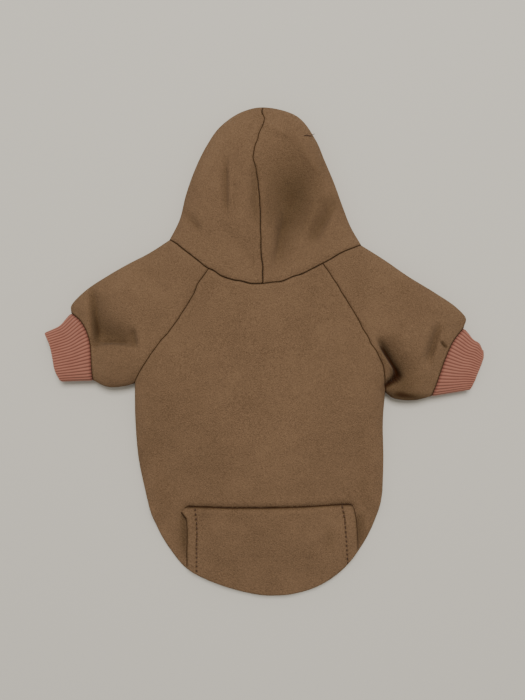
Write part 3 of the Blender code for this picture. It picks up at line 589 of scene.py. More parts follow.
class Draft:
    """Every seam, fold and hem line of the garment, seen from above."""

    def __init__(self, sizes: GarmentSizes) -> None:
        """Draws the lines.

        Args:
            sizes: The garment's named sizes.
        """
        self.sizes = sizes
        hood = (sizes.hood_width, sizes.hood_length)
        arm = (sizes.sleeve_span, sizes.back_length)
        body = (sizes.body_width, sizes.back_length)
        knots = {
            (name, side): np.array(rows)[:, 2 * side.value:2 * side.value + 2] * size
            for lines, size in ((HOOD_LINES, hood), (ARM_LINES, arm), (BODY_LINES, body))
            for name, rows in lines.items() for side in Side
        }
        for side in Side:
            underarm = knots["side_fold", side][0]
            knots["shoulder_fold", side][0] = knots["hood_edge", side][0]
            knots["raglan", side][0] = knots["neck_centre", side][-1]
            knots["front_raglan", side][0] = knots["front_neck_centre", side][0]
            knots["raglan", side][-1] = underarm
            knots["front_raglan", side][-1] = underarm
            knots["underarm_fold", side][0] = underarm
        self.lines = {key: Curve.through(points) for key, points in knots.items()}
        crown, self.tail = (
            Curve.through(mirrored(*(knots[name, side] for side in Side)))
            for name in ("hood_edge", "tail_edge")
        )
        self.belly = mirrored(*(knots["belly_hem", side] for side in Side))
        middle = RUNS_PER_SPAN * (len(HOOD_LINES["hood_edge"]) - 1)
        self.lines["hood_edge", Side.LEFT] = Curve(crown.points[:middle + 1])
        self.lines["hood_edge", Side.RIGHT] = Curve(crown.points[middle:][::-1])
        self.hood_seam = Curve.through(np.array(HOOD_SEAM) * hood)
        self.chains = self._chains()
        self.hood_seam = self._wander(self.hood_seam)
        self.pocket_top = self._pocket_top()
        self.seams = [self.hood_seam.points[::3], self.pocket_top.points[::2]]
        for side in Side:
            for name in ("neck_centre", "neck_shoulder", "raglan"):
                self.lines[name, side] = self._wander(self.lines[name, side])
                self.seams.append(self.line(name, side).points[::4])
        flat = np.vstack(self.chains + [self.tail.points])
        self.shift = np.array([*(-(flat.min(0) + flat.max(0)) / 2.0), 0.0])

    def _pocket_top(self) -> Curve:
        """The pocket's folded top edge, rounded down at both shoulders.

        Returns:
            The edge from left to right.
        """
        sides = [self.line("pocket_side", side) for side in Side]
        share = np.sin(np.linspace(-0.5, 0.5, 121) * math.pi) * 0.5 + 0.5
        high = sides[0].points[:1] * (1.0 - share[:, None]) + sides[1].points[:1] * share[:, None]
        run = Curve(high).run
        for side, away in zip(Side, (run, run[-1] - run)):
            radius = self.sizes.pocket_shoulders[side.value]
            way = sides[side.value].at(np.array([0.0, radius]))
            high = high + (way[1] - way[0]) * (1.0 - bow(away, radius))[:, None]
        return Curve(high)

    def _wander(self, line: Curve) -> Curve:
        """Lets a seam stray a little, but not where it meets a folded edge.

        Args:
            line: The seam as drafted.

        Returns:
            The seam as sewn.
        """
        gaps = [distance_to(chain, line.points) for chain in self.chains]
        free = ease(np.min(gaps, axis=0) / self.sizes.wander_hold)[:, None]
        stray = [Ripple(*row).at(line.points) for row in WANDER]
        return Curve(line.points + self.sizes.seam_wander * free * np.stack(stray, 1))

    def line(self, name: str, side: Side) -> Curve:
        """A named line on one side."""
        return self.lines[name, side]

    def _chains(self) -> list[Array]:
        """The folded outer edges, each as one long line.

        Returns:
            Four lines, two for each side.
        """
        chains = []
        for side in Side:
            hood, shoulder, cuff_top, cuff_low, underarm, body = (
                self.line(name, side).points for name in (
                    "hood_edge", "shoulder_fold", "cuff_top_edge",
                    "cuff_low_edge", "underarm_fold", "side_fold")
            )
            chains.append(np.vstack([hood[::-1], shoulder, cuff_top]))
            chains.append(np.vstack([cuff_low[::-1], underarm[::-1], body]))
        return chains


class LyingForm:
    """How high the cloth lies over each place, with its folds and seams."""

    def __init__(self, draft: Draft) -> None:
        """Prepares the soft unevenness.

        Args:
            draft: The garment's lines.
        """
        self.draft = draft
        self.sizes = draft.sizes
        self.swell, self.crumple, self.pucker = (Ripple(*row) for row in (SWELL, CRUMPLE, PUCKER))

    def away(self, points: Array) -> Array:
        """Distance from each point to the nearest folded edge."""
        gaps = [distance_to(chain, points) for chain in self.draft.chains]
        away = np.min(gaps, axis=0)
        return np.where(away < 1e-6, 0.0, away)

    def folds(self, points: Array) -> tuple[Array, Array]:
        """How far dents, creases and ridges move the upper side, and their painted shade.

        Args:
            points: Places seen from above.

        Returns:
            The rise and the painted shade at each place.
        """
        sizes, rise, shade = self.sizes, np.zeros(points.shape[:-1]), np.zeros(points.shape[:-1])
        for row in FOLDS:
            centre = np.array([row.across * sizes.body_width, row.along * sizes.back_length])
            turn = math.radians(row.turn)
            along = (points - centre) @ np.array([math.cos(turn), math.sin(turn)])
            across = (points - centre) @ np.array([-math.sin(turn), math.cos(turn)])
            reach, width = row.length * sizes.body_width, row.width * sizes.body_width
            width = width * (1.0 + row.lean * np.sign(across))
            away = (along / reach) ** 4 + (across / width) ** 2
            rise += row.rise * sizes.body_loft * np.exp(-away)
            # Painted shade, darkest along the fold's middle.
            shade += row.shade * np.exp(-SHADE_FALL * away)
        return rise, shade

    def swells(self, points: Array) -> tuple[Array, Array]:
        """The wide loft of the garment and the painted shade of its hollows.

        Args:
            points: Places seen from above.

        Returns:
            The loft and the painted shade at each place.
        """
        sizes = self.sizes
        loft, shade = np.full(points.shape[:-1], sizes.body_loft), np.zeros(points.shape[:-1])
        for row in LOFTS:
            du = (points[..., 0] / sizes.body_width - row.across) / row.reach_across
            dv = (points[..., 1] / sizes.back_length - row.along) / row.reach_along
            near = np.exp(-(du**2 + dv**2))
            loft += row.rise * sizes.body_loft * near
            # Painted shade over the hollow.
            shade += row.shade * near
        return loft, shade

    def seam_distance(self, points: Array) -> Array:
        """Distance from each point to the nearest seam of the upper side."""
        return np.min([distance_to(seam, points) for seam in self.draft.seams], axis=0)

    def height(self, points: Array, face: Face) -> Array:
        """Height of the cloth's outer surface.

        Args:
            points: Places seen from above.
            face: Which face of the garment.

        Returns:
            One height for each place.
        """
        sizes, away = self.sizes, self.away(points)
        loft, _ = self.swells(points)
        hem = sizes.hem_layers * sizes.wall
        corner = np.exp(-((away / sizes.tail_corner_reach) ** 4))
        floor_loft = hem + (sizes.tail_corner_loft - hem) * corner
        from_tail = distance_to(self.draft.tail.points[::2], points)
        rising = ease((from_tail - sizes.hem_width) / sizes.tail_slope)
        loft = floor_loft + (loft - floor_loft) * rising
        level = hem + (sizes.fold_level - hem) * rising
        if face is Face.UNDER:
            return level * (1.0 - bow(away, sizes.under_roll))
        hold = ease(away / sizes.edge_hold)
        rise = self.folds(points)[0] * hold * rising
        rise += self.unevenness(points, hold)
        rise -= sizes.tail_lip * (1.0 - bow(from_tail, sizes.tail_lip))
        return level + (loft - level) * bow(away, sizes.top_roll, sizes.roll_power) + rise

    def unevenness(self, points: Array, hold: Array) -> Array:
        """Small swells of the cloth and the furrows of its seams.

        Args:
            points: Places seen from above.
            hold: How free of the folded edges each place is, 0 to 1.

        Returns:
            One rise for each place.
        """
        sizes, seam = self.sizes, self.seam_distance(points)
        soft = sizes.swell_rise * self.swell.at(points)
        soft += sizes.crumple_rise * self.crumple.at(points)
        soft += sizes.pucker_rise * self.pucker.at(points) * np.exp(-seam / sizes.pucker_reach)
        furrow = sizes.groove_depth * bell(seam, sizes.groove_width)
        puff = sizes.puff * bell(seam - sizes.puff_place, sizes.puff_width)
        return hold * (soft + puff) - ease(hold * 2.0) * furrow

    def lift(self, points: Array, face: Face) -> Array:
        """Puts flat points on the garment's outer surface."""
        return np.concatenate([points, self.height(points, face)[..., None]], axis=-1)


class Shell:
    """A closed wall of cloth built up from grids that share their edges."""

    def __init__(self, name: str) -> None:
        """Starts an empty wall.

        Args:
            name: The finished piece's name.
        """
        self.name = name
        self.grids: list[tuple[Array, Array, Array, Face]] = []

    def add(self, grid: Array, wall: Array | float, crease: Array | float, face: Face) -> None:
        """Adds one grid of outer points.

        Args:
            grid: The outer surface's points.
            wall: The cloth's thickness at each point.
            crease: How much painted shade darkens each point, for shade in seams and folds, 0 to
                1.
            face: Which way the grid looks.
        """
        shape = grid.shape[:2]
        self.grids.append(
            (grid, np.broadcast_to(wall, shape), np.broadcast_to(crease, shape), face)
        )

    def build(self, shift: Array) -> bpy.types.Object:
        """Joins the grids and closes the wall.

        Args:
            shift: How far the garment moves to sit on its origin.

        Returns:
            The finished mesh object.
        """
        points, walls, creases, quads, count = [], [], [], [], 0
        for grid, wall, crease, face in self.grids:
            faces, flat = grid_quads(*grid.shape[:2]), grid.reshape(-1, 3)
            if (facing(flat, faces)[:, 2].sum() < 0.0) == (face is Face.TOP):
                faces = faces[:, ::-1]
            points.append(flat)
            walls.append(wall.ravel())
            creases.append(crease.ravel())
            quads.append(faces + count)
            count += len(flat)
        every, wall, crease = np.vstack(points), np.concatenate(walls), np.concatenate(creases)
        keys = np.round(every * PLACES).astype(np.int64)
        _, first, same = np.unique(keys, axis=0, return_index=True, return_inverse=True)
        same = same.ravel()
        outer, total = every[first], len(first)
        thick, deep = np.zeros(total), np.zeros(total)
        np.maximum.at(thick, same, wall)
        np.maximum.at(deep, same, crease)
        faces = same[np.vstack(quads)]
        area, lift = facing(outer, faces), np.zeros_like(outer)
        for k in range(4):
            np.add.at(lift, faces[:, k], area)
        inner = outer - unit(lift, 1e-15) * thick[:, None]
        inner[:, 2] = np.maximum(inner[:, 2], 0.0)
        starts, stops = faces.ravel(), np.roll(faces, -1, axis=1).ravel()
        real = starts != stops
        starts, stops = starts[real], stops[real]
        lone = ~np.isin(starts * total + stops, stops * total + starts)
        rims = np.stack([stops[lone], starts[lone], starts[lone] + total, stops[lone] + total], 1)
        rings = np.vstack([faces, faces[:, ::-1] + total, rims])
        # The crease number carries painted shade; the inner side of the wall is given full painted
        # shade.
        return make_mesh(
            self.name, np.vstack([outer, inner]) + shift, rings,
            {"crease": np.concatenate([deep, np.ones(total)])},
        )


def add_object(name: str, data: bpy.types.ID) -> bpy.types.Object:
    """Puts a mesh, lamp or camera into the scene as an object."""
    item = bpy.data.objects.new(name, data)
    bpy.context.scene.collection.objects.link(item)
    return item


def make_mesh(
    name: str, points: Array, rings: Array, values: dict[str, Array] | None = None
) -> bpy.types.Object:
    """Makes a smooth mesh object.

    Args:
        name: The object's name.
        points: The corner points.
        rings: Corner numbers of each face; a repeated number is left out.
        values: Named numbers, one for each point.

    Returns:
        The object, linked to the scene.
    """
    faces = []
    for ring in rings.tolist():
        kept = [a for k, a in enumerate(ring) if a != ring[k - 1]]
        if len(kept) > 2 and len(set(kept)) == len(kept):
            faces.append(kept)
    mesh = bpy.data.meshes.new(name)
    mesh.from_pydata(points.tolist(), [], faces)
    for title, numbers in (values or {}).items():
        layer = mesh.attributes.new(title, "FLOAT", "POINT")
        layer.data.foreach_set("value", np.asarray(numbers, np.float32))
    mesh.shade_smooth()
    mesh.update()
    return add_object(name, mesh)


class Signal:
    """A number that changes over a surface, held as a node's socket."""

    def __init__(self, sheet: "NodeSheet", socket: bpy.types.NodeSocket) -> None:
        """Wraps a socket.

        Args:
            sheet: The material's node sheet.
            socket: The output socket that carries the number.
        """
        self.sheet = sheet
        self.socket = socket

    def _math(self, operation: str, *values: "Signal | float") -> "Signal":
        """Adds one Math node for an operation on values."""
        node = self.sheet.node("ShaderNodeMath", {"operation": operation}, dict(enumerate(values)))
        return Signal(self.sheet, node.outputs[0])

    def __add__(self, other: "Signal | float") -> "Signal":
        """Sum."""
        return self._math("ADD", self, other)

    def __radd__(self, other: float) -> "Signal":
        """Sum with the number first."""
        return self._math("ADD", other, self)

    def __sub__(self, other: "Signal | float") -> "Signal":
        """Difference."""
        return self._math("SUBTRACT", self, other)

    def __rsub__(self, other: float) -> "Signal":
        """Difference with the number first."""
        return self._math("SUBTRACT", other, self)

    def __mul__(self, other: "Signal | float") -> "Signal":
        """Product."""
        return self._math("MULTIPLY", self, other)

    def __rmul__(self, other: float) -> "Signal":
        """Product with the number first."""
        return self._math("MULTIPLY", other, self)

    def sine(self) -> "Signal":
        """The sine of the number."""
        return self._math("SINE", self)

    def least(self, other: "Signal | float") -> "Signal":
        """The lesser of two numbers."""
        return self._math("MINIMUM", self, other)


class NodeSheet:
    """A material's node tree, written one named node at a time."""

    def __init__(self, name: str) -> None:
        """Makes an empty material.

        Args:
            name: The material's name.
        """
        self.material = bpy.data.materials.new(name)
        self.material.use_nodes = True
        self.tree = self.material.node_tree
        self.tree.nodes.clear()

    def node(
        self,
        kind: str,
        settings: dict[str, object] | None = None,
        sockets: dict[object, object] | None = None,
    ) -> bpy.types.Node:
        """Adds a node.

        Args:
            kind: The node's type.
            settings: Its own settings, which are set first.
            sockets: Values or links for its input sockets.

        Returns:
            The new node.
        """
        node = self.tree.nodes.new(kind)
        for key, value in (settings or {}).items():
            setattr(node, key, value)
        for key, value in (sockets or {}).items():
            target = node.inputs[key]
            if isinstance(value, Signal):
                self.tree.links.new(value.socket, target)
            elif isinstance(value, bpy.types.NodeSocket):
                self.tree.links.new(value, target)
            else:
                target.default_value = value
        return node

    def place(self) -> bpy.types.NodeSocket:
        """The point's place in the garment's own frame."""
        return self.node("ShaderNodeTexCoord").outputs["Object"]

    def axes(self, turn: float = 0.0) -> tuple[Signal, Signal, Signal]:
        """The place's three numbers, with the grain turned flat on the floor.

        Args:
            turn: The grain's turn in degrees.

        Returns:
            The numbers across, along and up.
        """
        split = self.node("ShaderNodeSeparateXYZ", None, {0: self.place()})
        x, y, z = (Signal(self, socket) for socket in split.outputs)
        c, s = math.cos(math.radians(turn)), math.sin(math.radians(turn))
        return x * c + y * s, y * c - x * s, z

    def noise(self, scale: float, detail: float, rough: float) -> Signal:
        """Soft noise with a number of cells to the metre.

        Args:
            scale: Cells to the metre.
            detail: How many finer layers.
            rough: How strong the finer layers are.

        Returns:
            The noise, from 0 to 1.
        """
        node = self.node(
            "ShaderNodeTexNoise", {"noise_dimensions": "3D"},
            {"Vector": self.place(), "Scale": scale, "Detail": detail, "Roughness": rough},
        )
        return Signal(self, node.outputs[0])

    def value(self, name: str) -> Signal:
        """A named number that the mesh carries."""
        node = self.node("ShaderNodeAttribute", {"attribute_name": name})
        return Signal(self, node.outputs["Fac"])

    def blend(
        self, share: Signal | float, first: object, second: object
    ) -> bpy.types.NodeSocket:
        """A colour between two colours.

        Args:
            share: How much of the second colour.
            first: Colour at a share of 0.
            second: Colour at a share of 1.

        Returns:
            The socket of the mixed colour.
        """
        node = self.node(
            "ShaderNodeMix", {"data_type": "RGBA"}, {0: share, 6: first, 7: second}
        )
        return node.outputs[2]

    def bump(
        self, height: Signal, distance: float, below: bpy.types.NodeSocket | None = None
    ) -> bpy.types.NodeSocket:
        """A shading normal from a height, on top of another bump.

        Args:
            height: The height's number.
            distance: How high a height of 1 stands.
            below: The bump that it lies on, if any.

        Returns:
            The socket of the normal.
        """
        sockets = {"Height": height, "Distance": distance, "Strength": 1.0}
        if below is not None:
            sockets["Normal"] = below
        return self.node("ShaderNodeBump", None, sockets).outputs[0]

    def finish(self, sockets: dict[object, object]) -> bpy.types.Material:
        """Closes the sheet with a surface shader.

        Args:
            sockets: Values or links for the surface shader.

        Returns:
            The finished material.
        """
        shader = self.node("ShaderNodeBsdfPrincipled", None, sockets)
        output = self.node("ShaderNodeOutputMaterial")
        self.tree.links.new(shader.outputs[0], output.inputs[0])
        return self.material


@dataclass(frozen=True)
class FleeceFinish:
    """Brushed brown sweatshirt cloth with a fine knitted face, darkened by painted shade in seams,
    folds, hollows and on its inner side.
    """

    name: str = "fleece"
    grain: float = 0.0
    course_share: float = 0.35
    knit_rise: float = 0.35
    fuzz_share: float = 1.3
    light: Colour = (0.222, 0.133, 0.072, 1.0)
    dark: Colour = (0.118, 0.068, 0.036, 1.0)
    # Colours of painted shade: olive where shade falls in hollows and folds, red-brown in the
    # deepest seam grooves and creases.
    shade: Colour = (0.048, 0.028, 0.009, 1.0)
    crease: Colour = (0.033, 0.009, 0.0015, 1.0)
    wale: float = 0.00085
    course: float = 0.00065
    fuzz: Cells = (2600.0, 3.0, 0.65)
    cloud: Cells = (38.0, 3.0, 0.55)
    fleck: Cells = (1150.0, 2.0, 0.8)
    pill: Cells = (1250.0, 2.0, 0.7)
    pill_rise: float = 0.0011
    fuzz_rise: float = 0.00012
    cloud_share: float = 0.30
    fleck_share: float = 1.30
    knit_share: float = 0.05
    tone_middle: float = 0.53
    tone_gain: float = 2.3
    # How the painted shade builds up with the crease number.
    shade_share: float = 0.82
    crease_start: float = 0.60
    crease_gain: float = 2.5

    def make(self) -> bpy.types.Material:
        """Builds the material.

        Returns:
            The finished material.
        """
        sheet = NodeSheet(self.name)
        across, along, _ = sheet.axes(self.grain)
        wales = (across * (math.tau / self.wale)).sine()
        courses = (along * (math.tau / self.course)).sine()
        knit = wales * 0.5 + courses * wales * self.course_share
        fuzz, cloud, fleck = (sheet.noise(*x) for x in (self.fuzz, self.cloud, self.fleck))
        share = cloud * self.cloud_share + fleck * self.fleck_share + knit * self.knit_share
        share = (share - self.tone_middle) * self.tone_gain
        tone = sheet.blend(share, self.dark, self.light)
        # Painted shade: the crease number darkens the cloth towards the shade colour, and where
        # deepest towards the crease colour.
        deep = sheet.value("crease").least(1.0)
        tone = sheet.blend(deep * self.shade_share, tone, self.shade)
        tone = sheet.blend((deep - self.crease_start) * self.crease_gain, tone, self.crease)
        height = knit * self.knit_rise + fuzz * self.fuzz_share
        coarse = sheet.bump(sheet.noise(*self.pill), self.pill_rise)
        normal = sheet.bump(height, self.fuzz_rise, coarse)
        return sheet.finish({
            "Base Color": tone,
            "Roughness": 0.92,
            "Specular IOR Level": 0.06,
            "Sheen Weight": 0.06,
            "Sheen Roughness": 0.45,
            "Sheen Tint": (0.95, 0.74, 0.55, 1.0),
            "Normal": normal,
        })


@dataclass(frozen=True)
class RibFinish:
    """Salmon rib knit of random tone, with painted shade deep red in the grooves between the ribs.
    """

    name: str = "rib_knit"
    ridge: Colour = (0.430, 0.180, 0.120, 1.0)
    body: Colour = (0.275, 0.100, 0.066, 1.0)
    groove_shade: Colour = (0.115, 0.035, 0.022, 1.0)
    cloud: Cells = (120.0, 2.0, 0.5)
    fleck: Cells = (2200.0, 3.0, 0.7)
    fuzz: Cells = (3200.0, 3.0, 0.7)
    fuzz_rise: float = 0.00016
    cloud_share: float = 0.5
    fleck_share: float = 0.35

    def make(self) -> bpy.types.Material:
        """Builds the material.

        Returns:
            The finished material.
        """
        sheet = NodeSheet(self.name)
        deep = sheet.value("crease").least(1.0)
        cloud, fleck = sheet.noise(*self.cloud), sheet.noise(*self.fleck)
        share = cloud * self.cloud_share + fleck * self.fleck_share
        tone = sheet.blend(share, self.body, self.ridge)
        # Painted shade: the grooves between the ribs, the cuff seam and the cuff's inside darken
        # towards deep red.
        tone = sheet.blend(deep, tone, self.groove_shade)
        normal = sheet.bump(sheet.noise(*self.fuzz), self.fuzz_rise)
        return sheet.finish({
            "Base Color": tone,
            "Roughness": 0.88,
            "Specular IOR Level": 0.25,
            "Sheen Weight": 0.30,
            "Sheen Roughness": 0.5,
            "Sheen Tint": (1.0, 0.72, 0.60, 1.0),
            "Normal": normal,
        })


@dataclass(frozen=True)
class ThreadFinish:
    """Twisted dark sewing thread."""

    name: str = "sewing_thread"
    light: Colour = (0.085, 0.034, 0.014, 1.0)
    dark: Colour = (0.036, 0.013, 0.005, 1.0)
    twist: float = 0.0005
    twist_rise: float = 0.00008
    twist_share: float = 0.6
    fuzz_share: float = 0.4
    fuzz: Cells = (4000.0, 2.0, 0.5)

    def make(self) -> bpy.types.Material:
        """Builds the material.

        Returns:
            The finished material.
        """
        sheet = NodeSheet(self.name)
        across, along, _ = sheet.axes()
        twist = ((across + along) * (math.tau / self.twist)).sine() * 0.5 + 0.5
        fuzz = sheet.noise(*self.fuzz)
        share = twist * self.twist_share + fuzz * self.fuzz_share
        tone = sheet.blend(share, self.dark, self.light)
        return sheet.finish({
            "Base Color": tone,
            "Roughness": 0.7,
            "Normal": sheet.bump(twist, self.twist_rise),
        })


@dataclass(frozen=True)
class FloorFinish:
    """Plain pale floor."""

    name: str = "pale_floor"
    tone: Colour = (0.63, 0.585, 0.50, 1.0)

    def make(self) -> bpy.types.Material:
        """Mixes the floor's finish."""
        sheet = NodeSheet(self.name)
        return sheet.finish(
            {"Base Color": self.tone, "Roughness": 0.85, "Specular IOR Level": 0.2})


@dataclass
class Garment:
    """What every panel needs: the draft, the lying form and the finishes."""

    sizes: GarmentSizes = field(default_factory=GarmentSizes)
    sleeve_grains: tuple[float, float] = (-38.0, 36.0)
    draft: Draft = field(init=False)
    form: LyingForm = field(init=False)
    fleece: bpy.types.Material = field(init=False)
    sleeve_fleece: dict[Side, bpy.types.Material] = field(init=False)
    rib: bpy.types.Material = field(init=False)
    thread: bpy.types.Material = field(init=False)

    def __post_init__(self) -> None:
        """Drafts the lines and mixes the finishes."""
        self.draft = Draft(self.sizes)
        self.form = LyingForm(self.draft)
        self.fleece = FleeceFinish().make()
        self.sleeve_fleece = {
            side: FleeceFinish(f"fleece_{side.word}_sleeve", grain).make()
            for side, grain in zip(Side, self.sleeve_grains)
        }
        self.rib = RibFinish().make()
        self.thread = ThreadFinish().make()

    def crease_at(self, flat: Array) -> Array:
        """How much painted shade darkens each place of the upper side, 0 to 1.

        Args:
            flat: Places seen from above.

        Returns:
            One amount of painted shade for each place.
        """
        # Painted shade of the folds and hollows, and painted shade in the seam grooves.
        seam = self.form.seam_distance(flat)
        painted_fold_shade = self.form.folds(flat)[1] + self.form.swells(flat)[1]
        width = self.sizes.crease_share * self.sizes.groove_width
        return np.clip(painted_fold_shade + bell(seam, width), 0.0, 1.0)

    def cut(self, name: str, side: Side, runs: int, *rolls: float) -> Array:
        """Points on a named line, crowded over its rolled start and end."""
        return self.draft.line(name, side).graded(runs, *rolls)

    def hemmed(self, doubled: Array) -> Array:
        """The cloth's wall, doubled where a hem is turned in."""
        return self.sizes.wall * (1.0 + (self.sizes.hem_layers - 1.0) * doubled)

    def side_inset(self, stations: Array) -> Array:
        """How far the side seam lies inside the side fold at each station."""
        inset = self.sizes.side_seam_inset
        return inset * ease(stations / (self.sizes.side_seam_reach * inset))

    def inset(self, grid: Array, *rims: str) -> Array:
        """Pulls edges of a flat grid back from their seams by half the gap.

        Args:
            grid: Flat points in a grid.
            rims: Which edges move in turn: first, last, low or high.

        Returns:
            The grid with those edges moved.
        """
        places = {
            "first": (np.s_[0, :], np.s_[1, :]), "last": (np.s_[-1, :], np.s_[-2, :]),
            "low": (np.s_[:, 0], np.s_[:, 1]), "high": (np.s_[:, -1], np.s_[:, -2]),
        }
        grid = grid.copy()
        for rim in rims:
            edge, near = places[rim]
            way = grid[near] - grid[edge]
            size = np.maximum(np.linalg.norm(way, axis=-1, keepdims=True), 1e-9)
            grid[edge] += way / size * np.minimum(0.5 * self.sizes.seam_gap, MOST_SHIFT * size)
        return grid


def dress(
    item: bpy.types.Object,
    material: bpy.types.Material,
    replaces: str | None = None,
) -> None:
    """Gives a piece its finish and its place in the part.

    Args:
        item: The piece.
        material: Its finish.
        replaces: The plain solid that it stands for, if any.
    """
    item.data.materials.clear()
    item.data.materials.append(material)
    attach(item, "root")
    if replaces:
        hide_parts(replaces)
    faces = len(item.data.polygons)
    log.info("%s: %d points, %d faces", item.name, len(item.data.vertices), faces)


@dataclass
class BackPanel:
    """The back, from the neck and raglan seams to the turned tail hem."""

    garment: Garment
    across_runs: int = 150
    raglan_runs: int = 110
    side_runs: int = 124
    flange_runs: int = 12
    hem_runs: int = 9
    hem_crowd: float = 0.7
    hem_start: float = 0.8
    flange_crowd: float = 2.2
    corner_fall: float = 9.0

    def _inward_tail(self, deep: Array, tail: Array) -> Array:
        """Lines that follow the tail hem at several depths."""
        curve = Curve(tail)
        return tail[:, None] + curve.sides(curve.run)[:, None] * deep[None, :, None]

    def build(self) -> bpy.types.Object:
        """Builds the panel's wall.

        Returns:
            The mesh object.
        """
        garment, sizes = self.garment, self.garment.sizes
        draft, form = garment.draft, garment.form
        bodies, side_marks = {}, {}
        for side in Side:
            raglan = garment.cut("raglan", side, self.raglan_runs, 0.0, sizes.top_roll)
            fold = draft.line("side_fold", side)
            marks = np.linspace(0.0, fold.length - sizes.hem_width, self.side_runs + 1)
            side_marks[side] = marks
            bodies[side] = np.vstack([raglan, fold.at(marks)[1:]])
        half = self.across_runs // 2
        left = garment.cut("neck_centre", Side.LEFT, half)[::-1]
        right = garment.cut("neck_centre", Side.RIGHT, self.across_runs - half)
        neck = np.vstack([left, right[1:]])
        tail = draft.tail.graded(self.across_runs, sizes.top_roll, sizes.top_roll)
        deep = sizes.hem_width * (1.0 - np.linspace(0.0, 1.0, self.hem_runs + 1) ** self.hem_crowd)
        hem = self._inward_tail(deep, tail)
        share = (Curve(tail).run / Curve(tail).length)[:, None]
        for side, end, away in ((Side.LEFT, 0, share), (Side.RIGHT, -1, 1.0 - share)):
            fold, near = draft.line("side_fold", side), np.exp(-away * self.corner_fall)
            for k, target in enumerate(fold.at(fold.length - deep)):
                hem[:, k] += (target - hem[end, k]) * near
                hem[end, k] = target
        grid = fill(neck, hem[:, 0], bodies[Side.LEFT], bodies[Side.RIGHT])
        grid = garment.inset(np.concatenate([grid, hem[:, 1:]], axis=1), "low")
        moved = garment.inset(grid, "first", "last")
        grid[:, :self.raglan_runs] = moved[:, :self.raglan_runs]
        reach = sizes.tail_corner_reach
        doubled = ease((form.away(grid) - self.hem_start * reach) / reach)
        doubled[:, :-self.hem_runs] = 0.0
        shell = Shell("back_cloth")
        shell.add(form.lift(grid, Face.TOP), garment.hemmed(doubled),
                  garment.crease_at(grid), Face.TOP)
        for side, column in ((Side.LEFT, 0), (Side.RIGHT, -1)):
            fold_points = grid[column, self.raglan_runs:]
            shell.add(self._flange(side, side_marks[side], deep, fold_points),
                      sizes.wall, 0.0, Face.UNDER)
        return shell.build(draft.shift)

    def _flange(self, side: Side, marks: Array, deep: Array, fold_points: Array) -> Array:
        """The strip that wraps round a side fold to the side seam.

        Args:
            side: The garment's side.
            marks: Stations along the fold, above the hem.
            deep: Depths of the hem's rows.
            fold_points: The fold's points at all stations.

        Returns:
            The strip's grid on the under side.
        """
        fold = self.garment.draft.line("side_fold", side)
        stations = np.concatenate([marks, fold.length - deep[1:]])
        inward = side.inward * fold.sides(stations)
        inset = self.garment.side_inset(stations)
        share = np.linspace(0.0, 1.0, self.flange_runs + 1) ** self.flange_crowd
        strip = fold_points[None] + inward[None] * (share[:, None] * inset[None])[..., None]
        return self.garment.form.lift(strip, Face.UNDER)

    def dress(self, item: bpy.types.Object) -> None:
        """Finishes the panel."""
        dress(item, self.garment.fleece, "back_panel")


@dataclass
class ChestPanel:
    """The shorter panel under the chest and belly."""

    garment: Garment
    across_runs: int = 70
    raglan_runs: int = 34
    side_runs: int = 40
    gap_reach: float = 0.005
    underarm: tuple[float, float] = (0.012, 0.010)
    underarm_ease: float = 0.0005
    hem_taper: tuple[float, float] = (0.019, 0.018)

    def build(self) -> bpy.types.Object:
        """Builds the panel's wall.

        Returns:
            The mesh object.
        """
        garment, sizes = self.garment, self.garment.sizes
        draft = garment.draft
        sides = {}
        for side in Side:
            raglan = garment.cut("front_raglan", side, self.raglan_runs, 0.0, sizes.under_roll)
            fold = draft.line("side_fold", side)
            stations = np.linspace(0.0, fold.length, self.side_runs + 1)
            inset = garment.side_inset(stations) + sizes.seam_gap * ease(stations / self.gap_reach)
            place, width = self.underarm
            inset = inset + self.underarm_ease * bell(stations - place, width)
            seam = fold.at(stations) + side.inward * fold.sides(stations) * inset[:, None]
            sides[side] = np.vstack([raglan, seam[1:]])
        half = self.across_runs // 2
        left = garment.cut("front_neck_centre", Side.LEFT, half)
        right = garment.cut("front_neck_centre", Side.RIGHT, self.across_runs - half - 1)
        neck = np.vstack([left, right[::-1]])
        ends = (sides[Side.LEFT][-1], sides[Side.RIGHT][-1])
        hem = Curve.through(np.vstack([ends[0], draft.belly, ends[1]])).graded(self.across_runs)
        grid = fill(neck, hem, sides[Side.LEFT], sides[Side.RIGHT])
        grid = garment.inset(grid, "low", "first", "last")
        start, reach = self.hem_taper
        doubled = ease((sizes.hem_width - distance_to(hem, grid)) / sizes.hem_step)
        doubled = doubled * ease((garment.form.away(grid) - start) / reach)
        shell = Shell("chest_cloth")
        shell.add(garment.form.lift(grid, Face.UNDER), garment.hemmed(doubled), 0.0, Face.UNDER)
        return shell.build(draft.shift)

    def dress(self, item: bpy.types.Object) -> None:
        """Finishes the panel."""
        dress(item, self.garment.fleece, "chest_panel")


